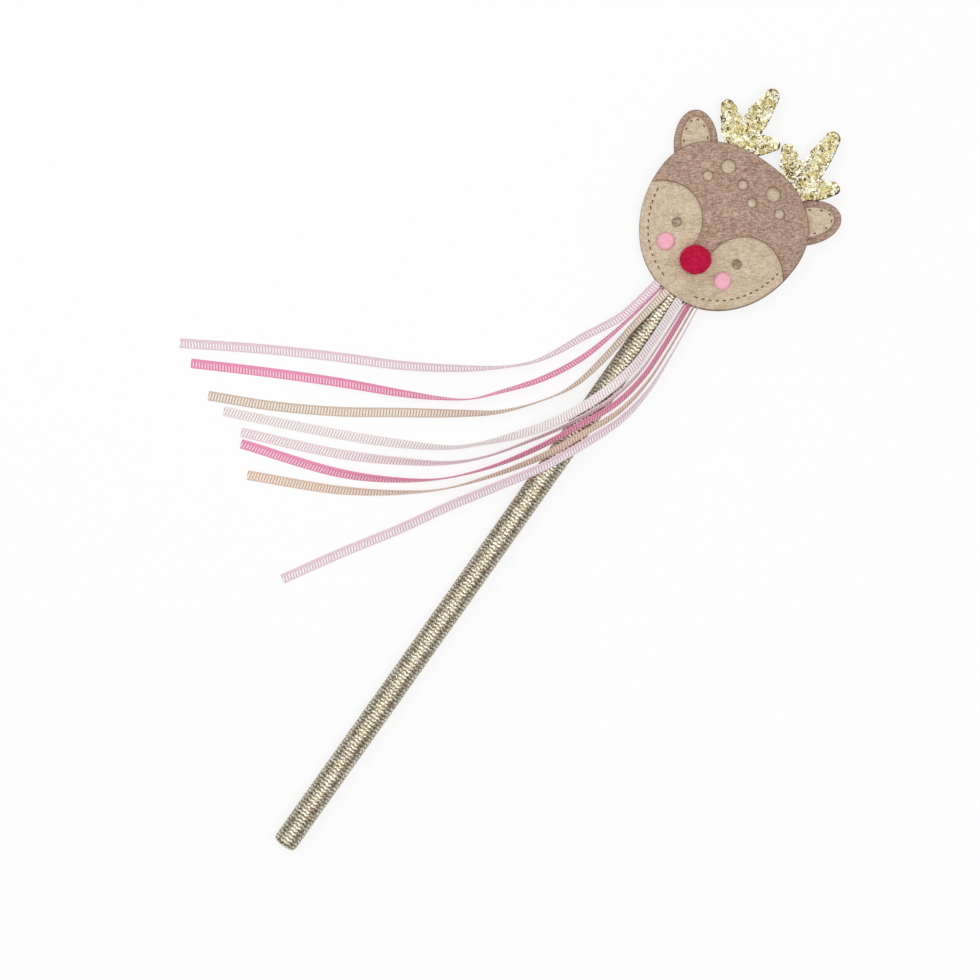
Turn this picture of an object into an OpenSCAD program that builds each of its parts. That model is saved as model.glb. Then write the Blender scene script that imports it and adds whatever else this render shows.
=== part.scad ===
// Toy magic wand lying face up: a stuffed felt deer head on a fabric-covered stick, with ribbons.
// Stick along +Y with the head at the far end, face up to +Z, the table at z = 0. Millimetres.

/* [Wand] */
// Length from the butt end to the antler tips
overall_l = 361; // [300:1:420]

/* [Stick] */
// Diameter of the wooden dowel
dowel_d = 8; // [6:0.5:10]
// Thickness of the metallic fabric sleeve
sleeve_t = 1; // [0.6:0.1:1.6]
// Thickness of the sleeve's closed butt end
butt_t = 1.5; // [1:0.1:3]
// Rounding of the butt end's edge
butt_round = 2; // [1:0.1:3]
// How far the dowel reaches into the head
dowel_reach = 40; // [25:1:50]

/* [Head] */
// Width of the head
head_w = 67; // [56:1:80]
// Height of the head above its widest line
head_up = 27.1; // [22:0.1:34]
// Height of the head below its widest line
head_down = 38; // [32:0.1:46]
// Swell of the stuffed front above the flat border
crown = 8; // [5:0.5:11]
// Width of the flat sewn border
border_w = 4.2; // [3:0.1:6]
// Thickness of a felt sheet
felt_t = 1; // [0.8:0.1:1.2]
// Half width of the arch over the stick at the neck
neck_w = 10; // [8:0.5:13]

/* [Face] */
// Sideways place of the face's centre line
face_x = -0.9; // [-3:0.1:3]
// Sideways distance of the face lobes from the centre line
lobe_x = 20; // [17:0.5:23]
// Place of the face lobes below the widest line
lobe_drop = 16.3; // [14:0.1:19]
// Radius of the face lobes
lobe_r = 16; // [14:0.5:18]
// Place of the forehead's lower tip below the widest line
tongue_drop = 20; // [18:0.5:24]
// Sideways distance of the eyes
eye_x = 14.6; // [11:0.1:18]
// Place of the eyes below the widest line
eye_drop = 13.6; // [11:0.1:17]
// Radius of the eye holes
eye_r = 1.9; // [1.4:0.1:2.6]
// Sideways distance of the cheeks
cheek_x = 13.8; // [11:0.1:18]
// Place of the cheeks below the widest line
cheek_drop = 22.3; // [20:0.1:25]
// Radius of the cheek dots
cheek_r = 3.4; // [2.4:0.1:4]
// Diameter of the pompom nose
nose_d = 12.4; // [9:0.1:15]
// Place of the nose below the widest line
nose_drop = 22; // [20:0.1:25]
// Height of the pompom's middle above the felt under it
nose_lift = 3.6; // [2.5:0.1:5]
// Radius of the two large forehead spots
spot_big_r = 2.9; // [2:0.1:3.4]
// Radius of the small forehead spots
spot_small_r = 2; // [1.2:0.1:2.4]

/* [Ears] */
// Place of the ears round the rim, from straight up
ear_a = 58; // [52:1:64]
// Direction of the ears, from straight up
ear_lean = 42; // [36:1:50]
// Reach of the ears past the rim
ear_l = 13.5; // [10:0.5:17]
// Width of the ears at the rim
ear_w = 17.5; // [14:0.5:19]
// Brown edge left showing round the ear patch
ear_edge = 2.7; // [2:0.1:3.5]

/* [Antlers] */
// Height of the antler tips above the head
antler_rise = 26.3; // [20:0.1:32]
// Sideways place of the left antler
antler_x_left = 13.2; // [11:0.1:16]
// Sideways place of the right antler
antler_x_right = 16.6; // [14:0.1:18]
// Rounded end radius of the antler tines
tine_r = 3.1; // [2.2:0.1:3.6]
// Thickness of the glitter sheet
glitter_t = 1; // [0.6:0.1:1.4]
// Thickness of the antlers' backing sheet
backing_t = 0.6; // [0.4:0.1:1]

/* [Stitches] */
// Thickness of the thread
thread_d = 0.7; // [0.4:0.1:1]
// Length of one stitch
stitch_l = 2; // [1.2:0.1:2.6]
// Distance from stitch to stitch
stitch_pitch = 3.2; // [3:0.1:5]
// Distance of the rim stitches from the edge
stitch_inset = 3.6; // [2.4:0.1:5]

/* [Ribbons] */
// Width of a ribbon
ribbon_w = 3.8; // [3:0.1:4.2]
// Thickness of a ribbon
ribbon_t = 0.5; // [0.3:0.1:0.6]

/* [Fits] */
// Gap between felt layers and between glued pieces
felt_gap = 0.05; // [0.02:0.01:0.1]
// Gap between the head's rim and the pieces that bend at it
rim_gap = 0.5; // [0.4:0.1:0.8]

/* [Hidden] */
$fn = 64;

brown = [0.66, 0.55, 0.48];
beige = [0.83, 0.74, 0.62];
thread = [0.30, 0.20, 0.14];
gold = [0.80, 0.72, 0.45];

dowel_r = dowel_d / 2;
sleeve_r = dowel_r + sleeve_t;
axis_z = max(sleeve_r, felt_t + dowel_r);
y_tip = overall_l / 2;
y_butt = -overall_l / 2;
head_y = y_tip - antler_rise - head_up;
y_neck = head_y - head_down;
sleeve_end = y_neck - felt_gap;

// Outline of the head: half a wide rounded top over half an oval chin
top_power = 2.25;
chin_power = 2.05;
sectors = 48;
domes = 5;
function power_radius(a, rx, ry, p) =
    1 / pow(pow(abs(cos(a)) / rx, p) + pow(abs(sin(a)) / ry, p), 1 / p);
function rim_r(a) = sin(a) >= 0
    ? power_radius(a, head_w / 2, head_up, top_power)
    : power_radius(a, head_w / 2, head_down, chin_power);
function on_rim(a, out = 0) = (rim_r(a) + out) * [cos(a), sin(a)];

// Heights of the sewn layers: a flat border, a swelling inside it and an arch over the stick
seam_z = axis_z;
arch_rise = dowel_r + felt_t;
swell_power = 2.2;
flat_share = 1.35;
back_arch_share = 2.2;
function swell(k) = 1 - pow(k, swell_power);
function arch(x, y) = y < 0 && abs(x) < neck_w ? (1 + cos(180 * x / neck_w)) / 2 : 0;
function front_z(p, k) = seam_z + felt_gap + max(crown * swell(k), arch_rise * arch(p.x, p.y));
function sag(p, k) = min(1, max(flat_share * swell(k), back_arch_share * arch(p.x, p.y)));
function back_z(p, k) = seam_z - (seam_z - felt_t) * sag(p, k);
function layer_z(p, k, n) = front_z(p, k) + n * (felt_t + felt_gap);

// Rings of points from the rim inwards, each with its share k of the way to the border
function ring_points(i) = [
    for (s = [0 : sectors - 1])
        let (a = 360 * s / sectors)
        i == 0 ? on_rim(a) : on_rim(a, -border_w) * (domes - i + 1) / domes
];
function ring_share(i) = i == 0 ? 1 : (domes - i + 1) / domes;
rim_rings = [for (i = [0 : domes]) ring_points(i)];
function surface_points(rings, map) = [
    for (i = [0 : len(rings) - 1]) for (j = [0 : sectors - 1]) [rings[i][j].x, rings[i][j].y, map[i][j]],
    [0, 0, map[len(rings)]]
];

// Solid between two height maps over rings of points
module quilt(rings, low, high) {
    last_ring = len(rings) - 1;
    count = sectors * len(rings);
    points = concat(surface_points(rings, high), surface_points(rings, low));
    lift = count + 1;
    function at(i, j) = i * sectors + j % sectors;
    band = [for (i = [0 : last_ring - 1]) for (j = [0 : sectors - 1])
        each [[at(i, j), at(i + 1, j), at(i + 1, j + 1)], [at(i, j), at(i + 1, j + 1), at(i, j + 1)]]];
    cap = [for (j = [0 : sectors - 1]) [at(last_ring, j), count, at(last_ring, j + 1)]];
    upper = concat(band, cap);
    lower = [for (f = upper) [f[0] + lift, f[2] + lift, f[1] + lift]];
    side = [for (j = [0 : sectors - 1])
        each [[j, at(0, j + 1), at(0, j + 1) + lift], [j, at(0, j + 1) + lift, j + lift]]];
    translate([0, head_y, 0])
        polyhedron(points = points, faces = concat(upper, lower, side));
}
function front_map(n) = concat(
    [for (i = [0 : domes]) [for (p = ring_points(i)) layer_z(p, ring_share(i), n)]],
    [layer_z([0, 0], 0, n)]);
function back_map(up) = concat(
    [for (i = [0 : domes]) [for (p = ring_points(i)) back_z(p, ring_share(i)) + up]],
    [back_z([0, 0], 0) + up]);
function raised(map, up) = [for (row = map) is_list(row) ? [for (z = row) z + up] : row + up];
module front_layer(n) {
    quilt(rim_rings, front_map(n), raised(front_map(n), felt_t));
}
module back_layer() {
    quilt(rim_rings, back_map(-felt_t), back_map(0));
}
// Space for the filling, which ends a little inside the sewn border
filling_inset = 0.25;
filling_gap = felt_gap + 0.2;
function inset_rows(rows) = concat(
    [rows[1] * (1 - filling_inset) + rows[2] * filling_inset],
    [for (i = [2 : len(rows) - 1]) rows[i]]);
module inner_space() {
    low = inset_rows(back_map(filling_gap));
    high = inset_rows(raised(front_map(0), -filling_gap));
    quilt(inset_rows(rim_rings), low, high);
}

// Upright tool for cuts through the felt layers
cut_h = 60;
module through(x, y, r) {
    translate([x, head_y + y, -cut_h / 2])
        cylinder(r = r, h = cut_h);
}
module head_prism(out = 0) {
    translate([0, head_y, -cut_h / 2])
        linear_extrude(height = cut_h)
            polygon([for (s = [0 : sectors - 1]) on_rim(360 * s / sectors, out)]);
}
module along_stick(y) {
    translate([0, y, axis_z])
        rotate([-90, 0, 0])
            children();
}

// Stick
module dowel_core() {
    start = y_butt + butt_t;
    color("burlywood")
        along_stick(start)
            cylinder(r = dowel_r - felt_gap, h = y_neck + dowel_reach - start);
}
module glitter_sleeve() {
    length = sleeve_end - y_butt;
    color(gold)
        along_stick(y_butt)
            rotate_extrude()
                difference() {
                    union() {
                        translate([0, butt_round])
                            square([sleeve_r, length - butt_round]);
                        square([sleeve_r - butt_round, length]);
                        translate([sleeve_r - butt_round, butt_round])
                            intersection() {
                                circle(r = butt_round);
                                translate([0, -butt_round])
                                    square(butt_round);
                            }
                    }
                    translate([0, butt_t])
                        square([dowel_r, length]);
                }
}
// Tunnel for the dowel: an arch of flat strips, open down to the back felt
tunnel_strips = 12;
module dowel_room() {
    r = dowel_r + felt_gap;
    step = 180 / tunnel_strips;
    arch_line = [for (i = [0 : tunnel_strips]) r * [cos(step * i), sin(step * i)]];
    translate([0, y_neck + dowel_reach + felt_gap, axis_z])
        rotate([90, 0, 0])
            linear_extrude(height = dowel_reach + cut_h)
                polygon(concat(arch_line, [[-r, -axis_z], [r, -axis_z]]));
}
// Wad in the neck, from the rim to the filling, with a wall on each side of the dowel
plug_wall = 0.9;
module neck_plug() {
    plug_end = head_y - (head_down - border_w) * (1 - filling_inset / domes) - felt_gap;
    side = dowel_r + plug_wall;
    foot_z = 2 * felt_t;
    function over(x) = front_z([x, -1], 1) - felt_gap;
    section = [[-side, over(side)], [-side, foot_z], [side, foot_z], [side, over(side)], [0, over(0)]];
    color("ivory")
        difference() {
            translate([0, plug_end, 0])
                rotate([90, 0, 0])
                    linear_extrude(height = plug_end - y_neck)
                        polygon(section);
            dowel_room();
        }
}

// Head
module back_panel() {
    color(brown) back_layer();
}
module stuffing() {
    color("whitesmoke")
        difference() {
            inner_space();
            dowel_room();
        }
}
module front_panel() {
    color(brown) front_layer(0);
}
module face_panel() {
    color(beige)
        difference() {
            front_layer(1);
            for (side = [-1, 1])
                through(face_x + side * eye_x, -eye_drop, eye_r);
        }
}
// Places of the forehead spots from the middle of the widest line
spots_big = [[-11.5, 16.4], [9.6, 17.6]];
spots_small = [[-16.1, 8.6], [-2.5, 13.5], [4.6, 9.6], [16.1, 12.6]];
module forehead_panel() {
    color(brown)
        difference() {
            front_layer(2);
            for (side = [-1, 1])
                through(face_x + side * lobe_x, -lobe_drop, lobe_r);
            translate([-head_w, head_y - 2 * head_down, 0])
                cube([2 * head_w, 2 * head_down - tongue_drop, cut_h]);
            for (p = spots_big)
                through(p.x, p.y, spot_big_r);
            for (p = spots_small)
                through(p.x, p.y, spot_small_r);
        }
}
// Height of the stuffed front at a point of the face, at the top of layer n
function share(p) = min(1, norm(p) / (rim_r(atan2(p.y, p.x)) - border_w));
function felt_top(p, n) = layer_z(p, share(p), n) + felt_t;
module under_felt(n) {
    quilt(rim_rings, raised(front_map(n), -cut_h), raised(front_map(n), felt_t + felt_gap));
}
module nose_pompom() {
    place = [face_x, -nose_drop];
    color([0.78, 0.25, 0.42])
        difference() {
            translate([place.x, head_y + place.y, felt_top(place, 2) + nose_lift])
                sphere(d = nose_d);
            under_felt(2);
        }
}
module cheek(side) {
    color("pink")
        intersection() {
            front_layer(2);
            through(face_x + side * cheek_x, -cheek_drop, cheek_r);
        }
}

// A strip is a little narrower than the round end that it meets, so that their edges cross cleanly
strip_share = 0.96;

// Ears, each in its own frame with +Y away from the head
function ear_base(side) = on_rim(90 - side * ear_a);
module at_ear(side) {
    base = ear_base(side);
    translate([base.x, head_y + base.y, 0])
        rotate(-side * ear_lean)
            children();
}
// An ear narrows from the rim to its round top
ear_top_share = 0.84;
ear_top_r = ear_top_share * ear_w / 2;
ear_top_y = ear_l - ear_top_r;
module ear_shape(inset) {
    r = ear_top_r - inset;
    half = ear_w / 2 - inset;
    translate([0, ear_top_y])
        circle(r = r);
    right = [[half, -ear_l], [half, 0], [strip_share * r, ear_top_y]];
    left = [[-strip_share * r, ear_top_y], [-half, 0], [-half, -ear_l]];
    polygon(concat(right, left));
}
module ear_sheet(side, inset, z, t) {
    difference() {
        at_ear(side)
            translate([0, 0, z])
                linear_extrude(height = t)
                    ear_shape(inset);
        head_prism(rim_gap);
    }
}
ear_patch_z = seam_z + felt_gap;
module ear_outer(side) {
    color(brown) ear_sheet(side, 0, seam_z - felt_t, felt_t);
}
module ear_inner(side) {
    color(beige) ear_sheet(side, ear_edge, ear_patch_z, felt_t);
}
// Stitches in an arch round the ear patch, with one more on each straight leg
ear_stitch_turns = [-90, -45, 0, 45, 90];
ear_stitch_inset = 1.2;
module ear_stitches(side) {
    r = ear_top_r - ear_edge - ear_stitch_inset;
    z = ear_patch_z + felt_t + felt_gap + thread_d / 2;
    color(thread)
        at_ear(side)
            translate([0, ear_top_y, z]) {
                for (turn = ear_stitch_turns)
                    rotate(turn)
                        translate([0, r, 0])
                            stitch();
                for (x = [-r, r])
                    translate([x, -stitch_pitch, 0])
                        rotate(90)
                            stitch();
            }
}
module stitch() {
    rotate([0, 90, 0])
        cylinder(d = thread_d, h = stitch_l, center = true);
}

// Antlers, each in its own frame with +Y up from its root on the rim: three tines on a round palm.
// A tine end is its sideways place, its share of the antler's height and its share of the end radius
tine_ends = [[-0.4, 1, 1.25], [-11.4, 0.47, 1.05], [10.8, 0.36, 1.08]];
palm = [-0.6, 4.6];
palm_share = 2;
function antler_x(side) = side < 0 ? -antler_x_left : antler_x_right;
function rim_y(x) = head_up * pow(1 - pow(abs(x) * 2 / head_w, top_power), 1 / top_power);
function antler_top(side) = head_up + antler_rise - rim_y(antler_x(side)) - tine_r * tine_ends[0][2];
module tine(to, r) {
    along = to / norm(to);
    across = strip_share * r * [-along.y, along.x];
    translate(to)
        circle(r = r);
    polygon([across, -across, to - across, to + across]);
}
module antler_shape(side) {
    for (end = tine_ends)
        tine([end.x, end.y * antler_top(side)], end.z * tine_r);
    translate(palm)
        circle(r = palm_share * tine_r);
}
module antler_sheet(side, z, t) {
    difference() {
        translate([antler_x(side), head_y + rim_y(antler_x(side)), z])
            linear_extrude(height = t)
                antler_shape(side);
        head_prism(rim_gap);
    }
}
module antler_glitter(side) {
    color(gold) antler_sheet(side, seam_z, glitter_t);
}
module antler_backing(side) {
    color([0.35, 0.27, 0.16]) antler_sheet(side, seam_z - felt_gap - backing_t, backing_t);
}

// Running stitch on the beige rim, from beside the neck up to the forehead's edge
rim_stitch_from = 23.5;
rim_stitch_to = 77;
module rim_stitches(side) {
    step = stitch_pitch / head_down * 180 / PI;
    color(thread)
        for (turn = [rim_stitch_from : step : rim_stitch_to]) {
            place = on_rim(-90 + side * turn, -stitch_inset);
            ahead = on_rim(-90 + side * (turn + 1), -stitch_inset) - place;
            translate([place.x, head_y + place.y, felt_top(place, 1) + felt_gap + thread_d / 2])
                rotate(atan2(ahead.y, ahead.x))
                    stitch();
        }
}

// Ribbons: [x, y, z, roll] along each from the neck to its cut end
routes = [
    [[-7.8, 89.2, 6.4, -30], [-11.6, 71, 5.4, -30], [-19.6, 55, 3.8, -40], [-25.6, 42.4, 2.8, -60],
     [-30.6, 34.8, 2.2, -75], [-39.2, 26.4, 2.1, -75], [-52.4, 16.4, 1.8, -45], [-72.8, 3.6, 1, -20],
     [-94.8, -8, 0.5, -5], [-120, -22, 0.4, 0], [-150.4, -40.4, 0.4, 0]],
    [[-5.5, 88.7, 7, -80], [-8.8, 71, 5.4, -75], [-15, 48, 3.6, -55], [-23.2, 32, 2.6, -55],
     [-33.6, 18.4, 2.3, -70], [-42.4, 8.4, 2.2, -85], [-52, 2, 2.1, -70], [-66.4, -5.6, 1.6, -40],
     [-89.2, -16.4, 0.9, -15], [-114.8, -29.6, 0.4, 0], [-142, -44.4, 0.4, 0]],
    [[-2.9, 88.5, 9.9, -31], [-5.6, 70.8, 7.8, -45], [-7.8, 52.4, 5.4, -50], [-11, 38, 3.4, -65],
     [-15.8, 28.4, 2.3, -85], [-29.2, 11.6, 2.1, -70], [-42.4, 1.4, 1.6, -40], [-62, -12, 0.8, -10],
     [-82.4, -26, 0.4, 0], [-106.4, -40, 0.4, 0], [-128.8, -51, 0.4, 0]],
    [[3.1, 88.5, 9.8, 33], [4, 68.4, 9.6, 35], [3.8, 56.8, 10.2, 25], [0, 40.8, 11, 0],
     [-8.4, 22, 9, -15], [-17.2, 9.2, 5, -30], [-28.4, -3.6, 2.4, -70], [-37.6, -12, 2.2, -65],
     [-54.9, -22.3, 1.4, -30], [-77.7, -33.7, 0.5, -5], [-120.2, -52.6, 0.4, 0]],
    [[5.9, 88.7, 6.8, 80], [6.9, 68, 8.4, 80], [6.8, 56, 10.6, 75], [3.8, 40.8, 12.4, 70],
     [-4.6, 22.4, 12, 70], [-13, 8.6, 8, 75], [-24, -7, 3, 80], [-34.8, -17.6, 2.2, 70],
     [-51.3, -28.3, 1.6, 40], [-73.2, -40.1, 0.8, 10], [-109.6, -55.4, 0.4, 0]],
    [[7.6, 89, 6, 60], [9, 70, 7, 60], [9.2, 56, 9, 60], [6.6, 41, 11, 55],
     [-1.6, 22.4, 12.4, 55], [-10, 6, 9.5, 60], [-20, -9.4, 5, 75], [-32.6, -23.7, 2.3, 85],
     [-47.1, -34.7, 2, 60], [-67.8, -45.9, 1.2, 25], [-107, -59.2, 0.4, 0]],
    [[9.6, 89.6, 5.6, 80], [11.4, 70, 6, 80], [11.8, 54, 8, 75], [9.4, 39, 10.5, 62],
     [2.2, 22, 12.2, 50], [-5.4, 6.4, 10.8, 50], [-17.6, -12, 6, 70], [-30, -27, 2.4, 85],
     [-43.6, -38.4, 2.1, 65], [-64, -51.6, 1.4, 30], [-97.6, -68, 0.4, 0]],
    [[11.2, 90, 5.2, 85], [13.4, 70, 4.8, 82], [14.2, 52, 6.6, 68], [12, 37, 9.4, 48],
     [5.3, 19.8, 12, 30], [-2.3, 3.8, 11, 25], [-13.4, -14.2, 7, 22], [-24.6, -32, 3.4, 18],
     [-35, -50, 1.5, 12], [-49.2, -72.4, 0.6, 5], [-62, -94, 0.4, 0]]
];
ribbon_tints = [
    [0.93, 0.78, 0.84], [0.91, 0.47, 0.65], [0.92, 0.84, 0.74], [0.94, 0.91, 0.90],
    [0.94, 0.82, 0.85], [0.91, 0.47, 0.65], [0.92, 0.78, 0.70], [0.93, 0.78, 0.84]
];
// Cross-section of a ribbon as shares of its half width and half thickness
ribbon_section = [[1, 0.4], [0.9, 1], [-0.9, 1], [-1, 0.4], [-1, -0.4], [-0.9, -1], [0.9, -1], [1, -0.4]];
function spot(route, i) = [route[i][0], route[i][1], route[i][2]];
function unit(v) = v / norm(v);
function heading(route, i) =
    unit(spot(route, min(i + 1, len(route) - 1)) - spot(route, max(i - 1, 0)));
function ribbon_ring(route, i) =
    let (ahead = i == 0 ? [0, -1, 0] : heading(route, i),
         side = unit(cross(ahead, [0, 0, 1])),
         up = cross(side, ahead),
         roll = route[i][3],
         wide = side * cos(roll) + up * sin(roll),
         thick = up * cos(roll) - side * sin(roll))
    [for (c = ribbon_section) spot(route, i) + wide * c.x * ribbon_w / 2 + thick * c.y * ribbon_t / 2];
// Each face is split along the diagonal that keeps a twisted stretch full
module ribbon(n) {
    route = routes[n - 1];
    sides = len(ribbon_section);
    rings = len(route);
    points = [for (i = [0 : rings - 1]) each ribbon_ring(route, i)];
    skin = [for (i = [0 : rings - 2]) for (j = [0 : sides - 1])
        let (a = i * sides + j, b = i * sides + (j + 1) % sides)
        each route[i + 1][3] < route[i][3]
            ? [[a, b, b + sides], [a, b + sides, a + sides]]
            : [[a, b, a + sides], [b, b + sides, a + sides]]];
    first = [for (j = [1 : sides - 2]) [0, j + 1, j]];
    last = [for (j = [1 : sides - 2]) (rings - 1) * sides * [1, 1, 1] + [0, j, j + 1]];
    color(ribbon_tints[n - 1])
        polyhedron(points = points, faces = concat(skin, first, last));
}

dowel_core();
glitter_sleeve();
neck_plug();
back_panel();
stuffing();
front_panel();
face_panel();
forehead_panel();
nose_pompom();
cheek(-1);  // cheek_left
cheek(1);  // cheek_right
ear_outer(-1);  // ear_left_outer
ear_outer(1);  // ear_right_outer
ear_inner(-1);  // ear_left_inner
ear_inner(1);  // ear_right_inner
ear_stitches(-1);  // ear_left_stitches
ear_stitches(1);  // ear_right_stitches
antler_glitter(-1);  // antler_left_glitter
antler_glitter(1);  // antler_right_glitter
antler_backing(-1);  // antler_left_backing
antler_backing(1);  // antler_right_backing
rim_stitches(-1);  // rim_stitches_left
rim_stitches(1);  // rim_stitches_right
ribbon(1);  // ribbon_1
ribbon(2);  // ribbon_2
ribbon(3);  // ribbon_3
ribbon(4);  // ribbon_4
ribbon(5);  // ribbon_5
ribbon(6);  // ribbon_6
ribbon(7);  // ribbon_7
ribbon(8);  // ribbon_8
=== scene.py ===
import logging
import math
import random
from collections.abc import Callable, Sequence
from dataclasses import dataclass
from enum import Enum
from functools import cache

import bpy
import numpy as np
from mathutils import Matrix, Vector, geometry, kdtree, noise


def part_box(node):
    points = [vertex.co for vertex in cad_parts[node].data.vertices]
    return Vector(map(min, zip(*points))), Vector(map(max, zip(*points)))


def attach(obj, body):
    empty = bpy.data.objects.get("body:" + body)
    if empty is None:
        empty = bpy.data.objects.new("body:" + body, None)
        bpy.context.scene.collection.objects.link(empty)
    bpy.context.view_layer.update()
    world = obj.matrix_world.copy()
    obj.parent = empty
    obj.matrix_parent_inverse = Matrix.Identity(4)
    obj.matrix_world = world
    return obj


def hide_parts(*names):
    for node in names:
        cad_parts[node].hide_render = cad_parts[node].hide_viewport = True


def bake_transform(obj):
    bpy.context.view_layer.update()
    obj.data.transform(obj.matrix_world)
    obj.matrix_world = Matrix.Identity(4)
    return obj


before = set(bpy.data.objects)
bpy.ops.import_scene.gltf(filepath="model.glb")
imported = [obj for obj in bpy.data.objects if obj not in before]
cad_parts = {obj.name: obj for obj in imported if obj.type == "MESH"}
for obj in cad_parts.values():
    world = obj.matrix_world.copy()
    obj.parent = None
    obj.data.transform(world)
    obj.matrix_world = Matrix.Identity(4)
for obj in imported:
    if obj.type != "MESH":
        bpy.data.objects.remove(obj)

LOG = logging.getLogger("wand")
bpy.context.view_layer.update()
MM = 0.001
FULL_TURN = 2 * math.pi
ROOT_BODY = "wand"
# Ending of the looks' material names, which keeps them apart from the plain ones of the CAD
LOOK = "_look"
PURE_WHITE = (1.0, 1.0, 1.0, 1.0)

Color = tuple[float, float, float, float]
Triple = tuple[float, float, float]
Range = tuple[float, float]
HeightMap = Callable[[np.ndarray], np.ndarray]
Tree = bpy.types.NodeTree
Node = bpy.types.Node
Socket = bpy.types.NodeSocket
Material = bpy.types.Material
Piece = bpy.types.Object


class Side(Enum):
    """The two sides of the head, as the sign of X."""

    LEFT = -1
    RIGHT = 1

    @property
    def word(self) -> str:
        """The side's name in node and body names."""
        return self.name.lower()


def srgb(red: int, green: int, blue: int) -> Color:
    """Turns a display colour into the linear one that shaders use.

    Args:
        red: Red from 0 to 255.
        green: Green from 0 to 255.
        blue: Blue from 0 to 255.

    Returns:
        The linear colour with full alpha.
    """
    shares = [c / 255 for c in (red, green, blue)]
    linear = [c / 12.92 if c <= 0.04045 else ((c + 0.055) / 1.055) ** 2.4 for c in shares]
    return (*linear, 1.0)


def feed(tree: Tree, node: Node, inputs: dict) -> None:
    """Sets or links a node's inputs.

    Args:
        tree: The node's tree.
        node: The node.
        inputs: Values or output sockets, by the input's name or number.
    """
    for key, value in inputs.items():
        if isinstance(value, Socket):
            tree.links.new(value, node.inputs[key])
        else:
            node.inputs[key].default_value = value


def add(tree: Tree, kind: str, inputs: dict | None = None, **props: object) -> Node:
    """Adds a shader node.

    Args:
        tree: The node tree that takes it.
        kind: The node's type name, after the words ShaderNode.
        inputs: Values or output sockets for its inputs, by name or number.
        props: Settings of the node itself.

    Returns:
        The new node.
    """
    node = tree.nodes.new(f"ShaderNode{kind}")
    for key, value in props.items():
        setattr(node, key, value)
    feed(tree, node, inputs or {})
    return node


def new_group(name: str, colours: Sequence[str], values: Sequence[str]) -> tuple[Tree, Node, Node]:
    """Makes an empty node group that puts out a colour and a bump height.

    Args:
        name: The group's name.
        colours: Names of its colour inputs.
        values: Names of its number inputs.

    Returns:
        The node tree, its input node and its output node.
    """
    tree = bpy.data.node_groups.new(name, "ShaderNodeTree")
    for way, labels, kind in (("INPUT", colours, "Color"), ("INPUT", values, "Float"),
                              ("OUTPUT", ("Color",), "Color"), ("OUTPUT", ("Height",), "Float")):
        for label in labels:
            tree.interface.new_socket(label, in_out=way, socket_type=f"NodeSocket{kind}")
    return tree, tree.nodes.new("NodeGroupInput"), tree.nodes.new("NodeGroupOutput")


def vector_math(tree: Tree, operation: str, first: object, second: object) -> Socket:
    """Adds a math node on two vectors."""
    return add(tree, "VectorMath", {0: first, 1: second}, operation=operation).outputs[0]


def noise_at(tree: Tree, place: Socket, stretch: Triple, **inputs: float) -> Socket:
    """Adds a noise texture with stretched grains, so many to the metre along each axis."""
    values = {"Vector": vector_math(tree, "MULTIPLY", place, stretch), "Scale": 1.0}
    return add(tree, "TexNoise", values | inputs).outputs["Fac"]


def mapped(tree: Tree, value: Socket, spread: Range) -> Socket:
    """Spreads a value so that the range's low end becomes 0 and its high end 1, clamped."""
    ends = {"From Min": spread[0], "From Max": spread[1]}
    return add(tree, "MapRange", {"Value": value} | ends).outputs["Result"]


def mixed(tree: Tree, share: object, first: object, second: object) -> Socket:
    """Mixes two colours, the second one by the given share."""
    return add(tree, "Mix", {0: share, 6: first, 7: second}, data_type="RGBA").outputs[2]


def scalar_math(tree: Tree, operation: str, *values: object) -> Socket:
    """Adds a math node on values or sockets."""
    return add(tree, "Math", dict(enumerate(values)), operation=operation).outputs[0]


def object_place(tree: Tree) -> Socket:
    """Gives the place on the piece in metres."""
    return add(tree, "TexCoord").outputs["Object"]


def marked(tree: Tree, name: str) -> Socket:
    """Reads a number that a mesh keeps for each vertex."""
    return add(tree, "Attribute", attribute_name=name).outputs["Fac"]


def bump(tree: Tree, height: Socket, strength: float, distance: float) -> Socket:
    """Adds a bump node and gives its normal."""
    values = {"Height": height, "Strength": strength, "Distance": distance}
    return add(tree, "Bump", values).outputs["Normal"]


def plain_material(name: str) -> tuple[Material, Tree, Node]:
    """Makes a material with only a Principled shader.

    Args:
        name: The material's name.

    Returns:
        The material, its node tree and the shader node.
    """
    material = bpy.data.materials.new(name)
    material.use_nodes = True
    return material, material.node_tree, material.node_tree.nodes["Principled BSDF"]


# Felt: direction of its grain round Z, grains to the metre of each noise, and the fibres' bend
GRAIN_TURN = math.radians(35)
STREAKS, CROSSINGS, CLOUDS, BENDS = (420, 2000, 1200), (1700, 620, 1200), (200, 260, 200), (180,) * 3
FIBRE_BEND = (0.002, 0.002, 0.002)
STREAK_SHARE = 0.62
GRAIN_SPREAD, CLOUD_SPREAD = (0.42, 0.61), (0.3, 0.72)


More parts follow.
